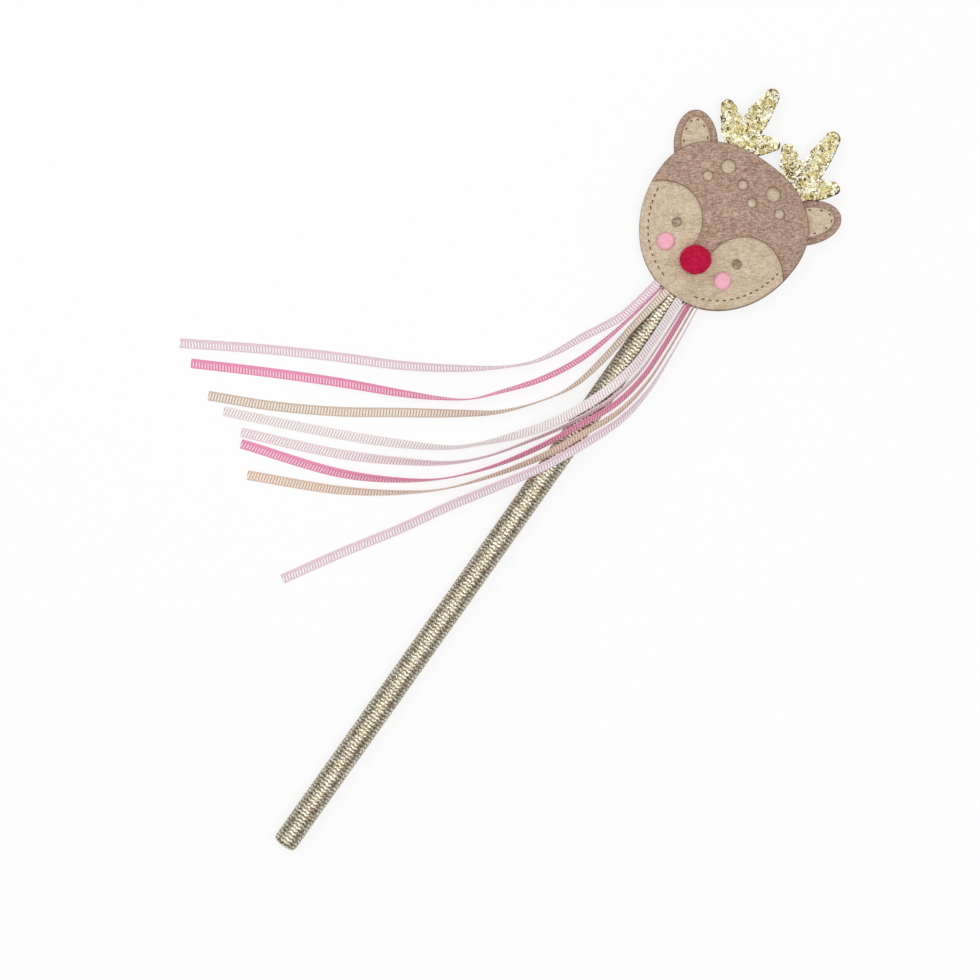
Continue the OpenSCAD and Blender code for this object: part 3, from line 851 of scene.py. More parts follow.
@dataclass
class Stick:
    """The dowel in its gold fabric sleeve."""

    row_pitch: float = 1.5 * MM
    samples_per_row: int = 6
    cells: int = 13
    samples_per_cell: int = 8
    zigzag: float = 0.3
    ridge: float = 0.22 * MM
    row_power: float = 1.1
    cell_power: float = 0.5
    cell_share: float = 0.45
    least_lift: float = 0.6
    gap_gain: float = 1.5
    least_r: float = 0.1 * MM
    butt_round: float = 2.2 * MM
    butt_rings: tuple[float, ...] = (0.02, 0.3, 0.55, 0.75)
    butt_tone: float = 0.3
    seed: int = 11

    def build(self) -> None:
        """Builds the ribbed sleeve and dresses the hidden dowel and wad."""
        low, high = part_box("glitter_sleeve")
        radius = (high.x - low.x) / 2
        axis_z = (high.z + low.z) / 2
        sides = self.cells * self.samples_per_cell
        step = self.row_pitch / self.samples_per_row
        angle = FULL_TURN * np.arange(sides) / sides
        cell = self.cells * angle / FULL_TURN
        weave = self.zigzag * np.abs(2 * (cell % 1) - 1)
        rings, gaps = [], []
        draw = random.Random(self.seed)
        for i in range(round((high.y - low.y) / step) + 1):
            y = i * step
            row, phase = np.divmod(i / self.samples_per_row + weave, 1.0)
            along = np.sin(math.pi * phase) ** self.row_power
            lift = np.abs(np.sin(math.pi * (cell + 0.5 * (row % 2)))) ** self.cell_power
            if i % self.samples_per_row == 0:
                lifts = [draw.uniform(self.least_lift, 1.0) for _ in range(self.cells)]
                uneven = np.repeat(lifts, self.samples_per_cell)
            raised = along * (1 - self.cell_share + self.cell_share * lift) * uneven
            depth = self.ridge * (1 - raised)
            short = max(0.0, self.butt_round - y)
            curve = math.sqrt(max(0.0, self.butt_round ** 2 - short ** 2))
            r = np.maximum(radius - self.butt_round + curve - depth, self.least_r)
            ring = [r * np.cos(angle), np.full(sides, low.y + y), axis_z + r * np.sin(angle)]
            rings.append(np.stack(ring, axis=1))
            gaps.append(np.clip(depth / self.ridge * self.gap_gain + 1 - self.gap_gain, 0, 1))
        heart = np.array([0.0, low.y, axis_z])
        ends = [heart + (rings[0] - heart) * share for share in self.butt_rings]
        tone = np.concatenate([np.full(sides, self.butt_tone)] * len(ends) + gaps)
        faces = [tuple(reversed(f)) for f in tube_faces(len(ends) + len(rings), sides)]
        piece = mesh_object("gold_sleeve", np.vstack(ends + rings), faces, GOLD_FABRIC.material())
        mark(piece, "row_gap", tone)
        settle(piece, GOLD_FABRIC, "glitter_sleeve")
        for node, finish in (("dowel_core", WOOD), ("neck_plug", GLUE)):
            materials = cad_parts[node].data.materials
            materials.clear()
            materials.append(finish.material())


# A length, or share of one, that is too small to matter
TINY = 1e-9
# Height of a triangle row, and the least distances of inner points from the edge, as shares
ROW_SHARE = 0.866
RIM_SHARE = 0.85
GRID_SHARE = 0.45


def tree_of(flat: np.ndarray) -> kdtree.KDTree:
    """Makes a search tree of XY points.

    Args:
        flat: Rows of X and Y.

    Returns:
        The tree, with each point at height 0.
    """
    tree = kdtree.KDTree(len(flat))
    for i, (x, y) in enumerate(flat):
        tree.insert((x, y, 0.0), i)
    tree.balance()
    return tree


def distances(tree: kdtree.KDTree, flat: np.ndarray) -> np.ndarray:
    """Distance of each XY point from the nearest point of a tree."""
    return np.array([tree.find((x, y, 0.0))[2] for x, y in flat])


@dataclass
class Cut:
    """A flat pattern piece: an outer loop of XY points, and loops of holes in it."""

    loops: list[np.ndarray]

    def inside(self, points: np.ndarray) -> np.ndarray:
        """Says which points lie in the pattern piece.

        Args:
            points: Rows of X and Y.

        Returns:
            One truth value for each point.
        """
        x, y = points.T
        result = np.zeros(len(points), bool)
        for loop in self.loops:
            for (x0, y0), (x1, y1) in zip(loop, np.roll(loop, -1, axis=0)):
                if y0 != y1:
                    spans = (y0 > y) != (y1 > y)
                    result ^= spans & (x < (x1 - x0) * (y - y0) / (y1 - y0) + x0)
        return result

    def fill(self, spacing: float, rim: float) -> tuple[np.ndarray, np.ndarray, np.ndarray]:
        """Covers the piece with triangles.

        Args:
            spacing: Distance between inner points.
            rim: Distance of the row of points along the edges.

        Returns:
            The points, the triangles, and each point's distance from the edge.
        """
        edge = np.vstack(self.loops)
        tree = tree_of(edge)
        low, high = edge.min(0), edge.max(0)
        xs = np.arange(low[0], high[0], spacing)
        ys = np.arange(low[1], high[1], spacing * ROW_SHARE)
        grid = np.array([(x + spacing / 2 * (r % 2), y) for r, y in enumerate(ys) for x in xs])
        rows: list[np.ndarray] = []
        links: list[tuple[int, int]] = []
        for loop in self.loops:
            ahead = np.roll(loop, -1, axis=0) - np.roll(loop, 1, axis=0)
            normal = np.stack([-ahead[:, 1], ahead[:, 0]], axis=1)
            normal /= np.linalg.norm(ahead, axis=1, keepdims=True)
            rows += [loop + normal * rim, loop - normal * rim]
            first, count = len(links), len(loop)
            links += [(first + i, first + (i + 1) % count) for i in range(count)]
        chosen = [edge]
        for points, least in ((np.vstack(rows), RIM_SHARE * rim), (grid, rim + GRID_SHARE * spacing)):
            points = points[self.inside(points)]
            chosen.append(points[distances(tree, points) > least])
        flat = [Vector(p) for p in np.vstack(chosen)]
        made = geometry.delaunay_2d_cdt(flat, links, [], 0, TINY)
        points = np.array([tuple(p) for p in made[0]])
        triangles = np.array([tuple(f) for f in made[2]])
        triangles = triangles[self.inside(points[triangles].mean(axis=1))]
        used, triangles = np.unique(triangles, return_inverse=True)
        return points[used], triangles.reshape(-1, 3), distances(tree, points[used])


def closed_sheet(name: str, flat: np.ndarray, triangles: np.ndarray, heights: Sequence[np.ndarray],
                 finish: Finish) -> Piece:
    """Makes a closed solid between two heights over a pattern.

    Args:
        name: The piece's name.
        flat: The pattern's points as rows of X and Y.
        triangles: The pattern's faces.
        heights: Upper and lower height of each point.
        finish: Its finish.

    Returns:
        The solid, with the upper points first.
    """
    corner = flat[triangles]
    turn = np.cross(corner[:, 1] - corner[:, 0], corner[:, 2] - corner[:, 0])
    triangles[turn < 0] = triangles[turn < 0][:, ::-1]
    edges = np.vstack([triangles[:, pair] for pair in ([0, 1], [1, 2], [2, 0])])
    known = {tuple(e) for e in edges}
    count = len(flat)
    side = [(b, a, a + count, b + count) for a, b in known if (b, a) not in known]
    faces = [*triangles, *(triangles[:, ::-1] + count), *side]
    points = np.vstack([np.column_stack([flat, level]) for level in heights])
    return mesh_object(name, points, faces, finish.material())


# Lumps of a sheet, coarse and fine: share, grains to the metre, and where in the noise they are taken
LUMPS = ((1.0, 260, 3.7), (0.6, 800, 9.1))
# How far in the painted shade along a sheet's cut edge reaches, in rim widths
EDGE_SHADE_REACH = 1.1


@dataclass
class Sheet:
    """A soft sheet cut to a pattern piece and laid on a surface."""

    name: str
    cut: Cut
    top: HeightMap
    thickness: float
    finish: Finish
    spacing: float = 1.1 * MM
    rim: float = 0.35 * MM
    edge_drop: float = 0.28
    relief: float = 0.08 * MM
    # Strength of the painted shade along the cut edge
    edge_shade: float = 0.6

    def build(self) -> Piece:
        """Builds the closed sheet.

        Returns:
            The sheet's object.
        """
        flat, triangles, away = self.cut.fill(self.spacing, self.rim)
        lumps = sum(share * np.array([noise.noise((x * grains, y * grains, z)) for x, y in flat])
                    for share, grains, z in LUMPS)
        drop = np.clip(1 - away / self.rim, 0, 1) ** 2 * self.edge_drop * self.thickness
        base = self.top(flat)
        heights = (base + self.relief * lumps - drop, base - self.thickness + drop)
        piece = closed_sheet(self.name, flat, triangles, heights, self.finish)
        # Painted shade along the cut edge, darkest at the edge and gone about a rim width in
        tone = self.edge_shade * np.clip(EDGE_SHADE_REACH - away / self.rim, 0, 1)
        mark(piece, "edge_shade_mask", np.tile(tone, 2))
        return piece


def even_turns(count: int) -> np.ndarray:
    """Evenly spaced angles of a full turn."""
    return FULL_TURN * np.arange(count) / count


def circle(x: float, y: float, r: float, count: int = 48) -> np.ndarray:
    """Points round a circle."""
    a = even_turns(count)
    return np.column_stack([x + r * np.cos(a), y + r * np.sin(a)])


def level_at(height: float) -> HeightMap:
    """Heights of a flat level."""
    return lambda flat: np.full(len(flat), height)


@dataclass
class HeadForm:
    """Outline and heights of the stuffed head, as in the part's source."""

    centre_y: float = 127.1 * MM
    half_width: float = 33.5 * MM
    up: float = 27.1 * MM
    down: float = 38 * MM
    top_power: float = 2.25
    chin_power: float = 2.05
    border: float = 4.2 * MM
    crown: float = 8 * MM
    seam_z: float = 5 * MM
    felt: float = 1 * MM
    gap: float = 0.05 * MM
    neck: float = 10 * MM
    arch_rise: float = 5 * MM
    arch_blend: float = 0.7 * MM
    swell_power: float = 2.2
    back_swell: float = 1.35
    back_arch: float = 2.2
    soft_border: float = 0.35
    soft_power: float = 1.25
    stitch_inset: float = 3.6 * MM
    groove: float = 0.42 * MM
    groove_width: float = 0.9 * MM
    groove_turns: Range = (12, 84)
    groove_fade: float = 6
    puckers: HeightMap = level_at(0.0)

    def rim(self, angle: np.ndarray, inset: float = 0.0) -> np.ndarray:
        """Points on the outline at angles from +X, moved inwards along the radius by the inset."""
        r = self.radius(angle) - inset
        return np.column_stack([r * np.cos(angle), self.centre_y + r * np.sin(angle)])

    def radius(self, angle: np.ndarray) -> np.ndarray:
        """Distance of the outline from the head's middle.

        Args:
            angle: Angles from +X in radians.

        Returns:
            The distance at each angle.
        """
        reach = np.where(np.sin(angle) >= 0, self.up, self.down)
        power = np.where(np.sin(angle) >= 0, self.top_power, self.chin_power)
        c, s = np.abs(np.cos(angle)) / self.half_width, np.abs(np.sin(angle)) / reach
        return 1 / (c ** power + s ** power) ** (1 / power)

    def outline(self, count: int = 280) -> np.ndarray:
        """The head's outline."""
        return self.rim(even_turns(count))

    def polar(self, flat: np.ndarray) -> tuple[np.ndarray, np.ndarray, np.ndarray]:
        """Places of points as seen from the head's middle.

        Args:
            flat: Rows of X and Y.

        Returns:
            Each point's angle, distance from the middle, and distance from the rim.
        """
        x, y = flat[:, 0], flat[:, 1] - self.centre_y
        angle, r = np.arctan2(y, x), np.hypot(x, y)
        return angle, r, self.radius(angle) - r

    def share(self, flat: np.ndarray, border: float) -> np.ndarray:
        """Share of the way from the middle to a line in the border, from 0 to 1."""
        _, r, inwards = self.polar(flat)
        return np.clip(r / (r + inwards - border), 0, 1)

    def arch(self, flat: np.ndarray) -> np.ndarray:
        """Rise of the felt over the stick, from 0 to 1.

        Args:
            flat: Rows of X and Y.

        Returns:
            The rise at each point.
        """
        x, y = flat[:, 0], flat[:, 1] - self.centre_y
        over = (y < 0) & (np.abs(x) < self.neck)
        return np.where(over, (1 + np.cos(math.pi * x / self.neck)) / 2, 0)

    def front(self, layer: int) -> HeightMap:
        """Top of a front layer: 0 is the brown under layer, 1 the face, 2 the forehead.

        Args:
            layer: The layer's number.

        Returns:
            A function from XY points to heights.
        """
        level = self.seam_z + self.gap + self.felt + layer * (self.felt + self.gap)
        first, last = self.groove_turns

        def height(flat: np.ndarray) -> np.ndarray:
            """Heights of the layer's top.

            Args:
                flat: Rows of X and Y.

            Returns:
                The height at each point.
            """
            angle, _, inwards = self.polar(flat)
            soft = self.share(flat, self.soft_border * self.border)
            swell = self.crown * (1 - soft ** 2) ** self.soft_power
            over = self.arch_rise * self.arch(flat)
            powers = sum(np.exp(lift / self.arch_blend) for lift in (swell, over))
            rise = self.arch_blend * np.log(powers - 1 + TINY)
            below = np.degrees(np.abs(np.angle(np.exp(1j * (angle + math.pi / 2)))))
            fades = [np.clip(turn / self.groove_fade, 0, 1) for turn in (below - first, last - below)]
            line = np.exp(-((inwards - self.stitch_inset) / self.groove_width) ** 2)
            return level + rise - self.groove * fades[0] * fades[1] * line + self.puckers(flat)
        return height

    def back(self, flat: np.ndarray) -> np.ndarray:
        """Top of the back felt.

        Args:
            flat: Rows of X and Y.

        Returns:
            The height at each point.
        """
        swell = self.back_swell * (1 - self.share(flat, self.border) ** self.swell_power)
        sag = np.minimum(1, np.maximum(swell, self.back_arch * self.arch(flat)))
        return self.seam_z - (self.seam_z - self.felt) * sag


FORM = HeadForm()


@dataclass
class RimSeam:
    """The running stitch along the rim of the face, from first to last in degrees from the chin."""

    first: float = 13.85
    last: float = 77
    step: float = 4.825
    length: float = 1.6 * MM
    stray: float = 0.15
    thread_r: float = 0.25 * MM
    next_turn: float = 0.01
    seed: int = 31

    def places(self, side: Side) -> list[Triple]:
        """Middle X and Y and direction of each stitch on one side.

        Args:
            side: The side of the face.

        Returns:
            The stitches from the chin upwards.
        """
        turns = np.radians(-90 + side.value * np.arange(self.first, self.last, self.step))
        spots = FORM.rim(turns, FORM.stitch_inset)
        ahead = FORM.rim(turns + self.next_turn, FORM.stitch_inset) - spots
        draw = random.Random(self.seed + side.value)
        return [(x, y, math.atan2(dy, dx) + draw.gauss(0, self.stray))
                for (x, y), (dx, dy) in zip(spots, ahead)]


SEAM = RimSeam()


@dataclass
class Puckers:
    """Cloth simulation of the face felt, sewn down at its edge and pushed out by the filling."""

    solver_scale: float = 20.0
    rim_points: int = 200
    spacing: float = 1.4 * MM
    rim: float = 0.7 * MM
    pull: float = 0.7 * MM
    frames: int = 20
    pressure: float = 2.5
    slack: float = 0.02
    stiffness: float = 20.0
    bending: float = 2.0
    blur: float = 7 * MM
    limit: float = 0.45 * MM
    neighbours: int = 4
    softness: float = 0.2 * MM

    def simulate(self) -> HeightMap:
        """Runs the simulation and keeps its fine relief.

        Returns:
            A function from XY points to the felt's rise or dip there.
        """
        flat, triangles, away = Cut([FORM.outline(self.rim_points)]).fill(self.spacing, self.rim)
        before = FORM.front(1)(flat)
        spots = np.array([(x, y) for side in Side for x, y, _ in SEAM.places(side)])
        sewn = np.array([np.argmin(np.linalg.norm(flat - spot, axis=1)) for spot in spots])
        start = before.copy()
        start[sewn] -= self.pull
        pinned = np.union1d(sewn, np.flatnonzero(away < self.rim / 2))
        after = self.settled(np.column_stack([flat, start]), triangles, pinned)
        return self.relief(flat, after - before)

    def settled(self, points: np.ndarray, triangles: np.ndarray, pinned: np.ndarray) -> np.ndarray:
        """Lets the cloth come to rest.

        Args:
            points: Places of the cloth's points in metres.
            triangles: Its faces.
            pinned: Numbers of the points that are sewn down.

        Returns:
            The height of each point at rest.
        """
        scaled = points * self.solver_scale
        cloth = mesh_object("pucker_cloth", scaled, triangles, BEIGE_FELT.material())
        cloth.vertex_groups.new(name="sewn").add([int(i) for i in pinned], 1.0, "REPLACE")
        modifier = cloth.modifiers.new("cloth", "CLOTH")
        settings = modifier.settings
        settings.vertex_group_mass = "sewn"
        settings.tension_stiffness = settings.compression_stiffness = self.stiffness
        settings.bending_stiffness = self.bending
        settings.use_pressure = True
        settings.uniform_pressure_force = self.pressure
        settings.shrink_min = -self.slack
        settings.effector_weights.gravity = 0.0
        modifier.collision_settings.use_collision = False
        modifier.point_cache.frame_end = self.frames
        scene = bpy.context.scene
        for step in range(1, self.frames + 1):
            scene.frame_set(step)
        shape = cloth.evaluated_get(bpy.context.evaluated_depsgraph_get()).data
        heights = np.array([vertex.co.z for vertex in shape.vertices]) / self.solver_scale
        bpy.data.objects.remove(cloth)
        scene.frame_set(1)
        return heights

    def relief(self, flat: np.ndarray, moved: np.ndarray) -> HeightMap:
        """Keeps the fine part of a movement and makes it readable at any point.

        Args:
            flat: Rows of X and Y.
            moved: How far each point moved.

        Returns:
            A function from XY points to heights.
        """
        tree = tree_of(flat)
        around = [[i for _, i, _ in tree.find_range((x, y, 0.0), self.blur)] for x, y in flat]
        wide = np.array([np.mean(moved[near]) for near in around])
        fine = np.clip(moved - wide, -self.limit, self.limit)
        ends = [v / MM for v in (moved.min(), moved.max(), fine.min(), fine.max())]
        LOG.info("puckers: moved %.2f to %.2f mm, kept %.2f to %.2f mm", *ends)

        def height(points: np.ndarray) -> np.ndarray:
            """Heights between the simulated points.

            Args:
                points: Rows of X and Y.

            Returns:
                The height at each point.
            """
            result = np.empty(len(points))
            for i, (x, y) in enumerate(points):
                near = tree.find_n((x, y, 0.0), self.neighbours)
                weights = np.array([1 / (away + self.softness) ** 2 for _, _, away in near])
                result[i] = np.dot(weights, fine[[k for _, k, _ in near]]) / weights.sum()
            return result
        return height


@dataclass
class Head:
    """The felt layers of the head and the filling between them."""

    face_x: float = -0.9 * MM
    lobe_x: float = 20 * MM
    lobe_drop: float = 16.3 * MM
    lobe_r: float = 16 * MM
    lobe_points: int = 64
    tongue_drop: float = 20 * MM
    forehead_points: int = 560
    eye_x: float = 14.6 * MM
    eye_drop: float = 13.6 * MM
    eye_r: float = 1.9 * MM
    # The back felts are shifted to the lower right so that their edges peek out there as a line of
    # painted shade
    back_shade_shift: Range = (0.35 * MM, -0.3 * MM)
    # X, Y over the head's middle and radius of each punched spot, in mm
    spots: tuple[Triple, ...] = ((-11.5, 16.4, 2.9), (9.6, 17.6, 2.9), (-16.1, 8.6, 2.0),
                                 (-2.5, 13.5, 2.0), (4.6, 9.6, 2.0), (16.1, 12.6, 2.0))
    fill_share: float = 0.7
    fill_points: int = 120
    fill_inset: float = 2 * MM
    fill_spacing: float = 2.4 * MM
    fill_rim: float = 0.8 * MM
    fill_gap: float = 0.3 * MM
    fill_least: float = 0.2 * MM

    def forehead_outline(self) -> np.ndarray:
        """Outline of the brown forehead with its bridge down to the nose.

        Returns:
            Rows of X and Y.
        """
        outline = FORM.outline(self.forehead_points)
        centres = [np.array([self.face_x + s.value * self.lobe_x, FORM.centre_y - self.lobe_drop])
                   for s in Side]
        low = FORM.centre_y - self.tongue_drop
        clear = np.min([np.linalg.norm(outline - c, axis=1) for c in centres], axis=0) > self.lobe_r
        upper = outline[clear & (outline[:, 1] > low)]
        angle = np.arctan2(upper[:, 1] - FORM.centre_y, upper[:, 0])
        upper = upper[np.argsort((angle + math.pi / 2) % FULL_TURN)]
        left = self.lobe_arc(centres[0], upper[-1], Side.LEFT)
        right = self.lobe_arc(centres[1], upper[0], Side.RIGHT)
        return np.vstack([upper, left, right[::-1]])

    def lobe_arc(self, centre: np.ndarray, rim_point: np.ndarray, side: Side) -> np.ndarray:
        """Edge of the forehead round one face lobe, from the rim to the bridge's lower end.

        Args:
            centre: Middle of the lobe.
            rim_point: Where the edge meets the head's outline.
            side: The lobe's side.

        Returns:
            Rows of X and Y.
        """
        start = math.atan2(rim_point[1] - centre[1], rim_point[0] - centre[0])
        end = math.asin((FORM.centre_y - self.tongue_drop - centre[1]) / self.lobe_r)
        end = math.pi - end if side is Side.RIGHT else end
        a = np.linspace(start, end, self.lobe_points)[1:]
        return centre + self.lobe_r * np.column_stack([np.cos(a), np.sin(a)])

    def build(self) -> None:
        """Builds the layers from the back to the forehead, then the filling."""
        FORM.puckers = Puckers().simulate()
        outline, shade_shift = FORM.outline(), np.array(self.back_shade_shift)
        eyes = [circle(self.face_x + s.value * self.eye_x, FORM.centre_y - self.eye_drop, self.eye_r)
                for s in Side]
        spots = [circle(x * MM, FORM.centre_y + y * MM, r * MM) for x, y, r in self.spots]
        forehead = [self.forehead_outline()] + spots
        # Each layer's last number is the strength of the painted shade along its edges
        layers = (
            ("back_felt", [outline + shade_shift], FORM.back, BROWN_FELT, "back_panel", 0.6),
            ("under_felt", [outline + shade_shift / 2], FORM.front(0), BROWN_FELT, "front_panel", 0.4),
            ("face_felt", [outline] + eyes, FORM.front(1), BEIGE_FELT, "face_panel", 0.45),
            ("forehead_felt", forehead, FORM.front(2), BROWN_FELT, "forehead_panel", 0.7),
        )
        for name, loops, top, felt, node, edge in layers:
            piece = Sheet(name, Cut(loops), top, FORM.felt, felt, edge_shade=edge).build()
            settle(piece, felt, node)
        self.build_filling()

    def build_filling(self) -> None:
        """Builds the filling inside the felt."""
        loop = FORM.rim(even_turns(self.fill_points), FORM.border + self.fill_inset)
        flat, triangles, _ = Cut([loop]).fill(self.fill_spacing, self.fill_rim)
        top = FORM.front(0)(flat) - FORM.felt - self.fill_gap
        low = np.minimum(FORM.back(flat) + self.fill_gap, top - self.fill_least)
        piece = closed_sheet("fibre_filling", flat, triangles, (top, low), FILLING)
        settle(piece, FILLING, "stuffing")


# Points round and along a stitch, the share of it that lies flat, and its lift and sink in thread radii
THREAD_SIDES, THREAD_STEPS = 8, 11
THREAD_FLAT, THREAD_LIFT, THREAD_SINK = 0.55, 0.7, 2.2


def thread_loops(name: str, stitches: Sequence[Triple], top: HeightMap, length: float) -> Piece:
    """Sews short stitches: each thread comes up through the felt, runs over it and goes down again.

    Args:
        name: The piece's name.
        stitches: Middle X and Y and direction of each stitch.
        top: Height of the felt under the stitches.
        length: Length of a stitch.

    Returns:
        The threads as one object.
    """
    a, radius = even_turns(THREAD_SIDES), SEAM.thread_r
    points: list[np.ndarray] = []
    faces: list[tuple[int, ...]] = []
    for x, y, direction in stitches:
        ahead = np.array([math.cos(direction), math.sin(direction), 0.0])
        across = np.array([-ahead[1], ahead[0], 0.0])
        ring = radius * (np.outer(np.cos(a), across) + np.outer(np.sin(a), (0, 0, 1)))
        faces += tube_faces(THREAD_STEPS, THREAD_SIDES, len(points) * THREAD_SIDES)
        for t in np.linspace(-1, 1, THREAD_STEPS):
            spot = np.array([x, y, 0.0]) + ahead * (t * length / 2)
            sink = THREAD_SINK * max(0.0, abs(t) - THREAD_FLAT) / (1 - THREAD_FLAT)
            spot[2] = top(spot[None, :2])[0] + radius * (THREAD_LIFT - sink)
            points.append(spot + ring)
    return mesh_object(name, np.vstack(points), faces, THREAD.material())


def loose_way(draw: random.Random) -> Vector:
    """Draws an arrow in any direction."""
    return Vector([draw.gauss(0, 1) for _ in range(3)])


@dataclass
class Face:
    """Nose, cheeks and the running stitch on the rim."""

    cheek_spacing: float = 0.6 * MM
    cheek_rim: float = 0.8 * MM
    cheek_edge_drop: float = 0.42
    # Strength of the painted shade along the cheek dots' edges
    cheek_edge_tone: float = 0.4
    ball_rows: int = 48
    ball_columns: int = 96
    ball_share: float = 0.97
    # Height in mm of the ball's lumps, and how many there are to its radius
    ball_lumps: tuple[Range, ...] = ((0.35, 2.2), (0.2, 6), (0.12, 16))
    ball_fill: float = 0.9
    hairs: int = 2000
    hair_length: float = 0.9 * MM
    hair_r: float = 0.03 * MM
    hair_ridge: float = 1.6
    hair_foot: float = 0.96
    hair_lift: float = 0.5 * MM
    hair_curl: float = 2.4
    hair_steps: Triple = (0.0, 0.5, 1.0)
    squash: float = 0.07
    squash_way: Triple = (-0.5777, 0.8163, 0.0)
    seed: int = 5

    def build(self) -> None:
        """Builds the small parts of the face."""
        self.build_nose()
        for side in Side:
            low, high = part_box(f"cheek_{side.word}")
            loop = circle((low.x + high.x) / 2, (low.y + high.y) / 2, (high.x - low.x) / 2)
            dot = Sheet(f"cheek_dot_{side.word}", Cut([loop]), FORM.front(2), FORM.felt, PINK_FELT,
                        self.cheek_spacing, self.cheek_rim, self.cheek_edge_drop,
                        edge_shade=self.cheek_edge_tone).build()
            settle(dot, PINK_FELT, f"cheek_{side.word}")
            name = f"rim_thread_{side.word}"
            thread = thread_loops(name, SEAM.places(side), FORM.front(1), SEAM.length)
            settle(thread, THREAD, f"rim_stitches_{side.word}")

    def build_nose(self) -> None:
        """Builds the felted ball with short loose hairs."""
        low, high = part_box("nose_pompom")
        radius = (high.x - low.x) / 2
        centre = np.array([(low.x + high.x) / 2, (low.y + high.y) / 2, high.z - radius])
        points: list[np.ndarray] = []
        for i in range(1, self.ball_rows):
            polar = math.pi * i / self.ball_rows
            out, up = math.sin(polar), math.cos(polar)
            for a in even_turns(self.ball_columns):
                way = Vector((out * math.cos(a), out * math.sin(a), up))
                lump = sum(size * noise.noise(way * grains) for size, grains in self.ball_lumps)
                points.append(centre + np.array(way) * (radius * self.ball_share + lump * MM))
        faces = [tuple(reversed(f)) for f in tube_faces(self.ball_rows - 1, self.ball_columns)]
        draw = random.Random(self.seed)
        for _ in range(self.hairs):
            way = loose_way(draw).normalized()
            lean = way.cross(loose_way(draw)).normalized()
            foot = Vector(centre) + way * radius * self.hair_foot
            wide = way.cross(lean) * self.hair_r
            corners = (wide, -wide, way * self.hair_r * self.hair_ridge)
            faces += tube_faces(len(self.hair_steps), len(corners), len(points))
            for step in self.hair_steps:
                lift = self.hair_lift * math.sin(self.hair_curl * step)
                spot = foot + lean * (self.hair_length * step) + way * lift
                points += [np.array(spot + corner) for corner in corners]
        places, way = np.vstack(points), np.array(self.squash_way)
        places -= self.squash * np.outer((places - centre) @ way, way)
        piece = mesh_object("nose_ball", places, faces, POMPOM.material())
        settle(piece, POMPOM, "nose_pompom")


def bend_at_rim(ends: Sequence[np.ndarray], pieces: Sequence[tuple]) -> None:
    """Bakes the pieces' places into their meshes and lists them.

    Args:
        ends: X and Y where a bend would start and end; not used.
        pieces: Each piece with its finish and the CAD nodes that it stands for.
    """
    for piece, *listing in pieces:
        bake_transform(piece)
        listed(piece, *listing)


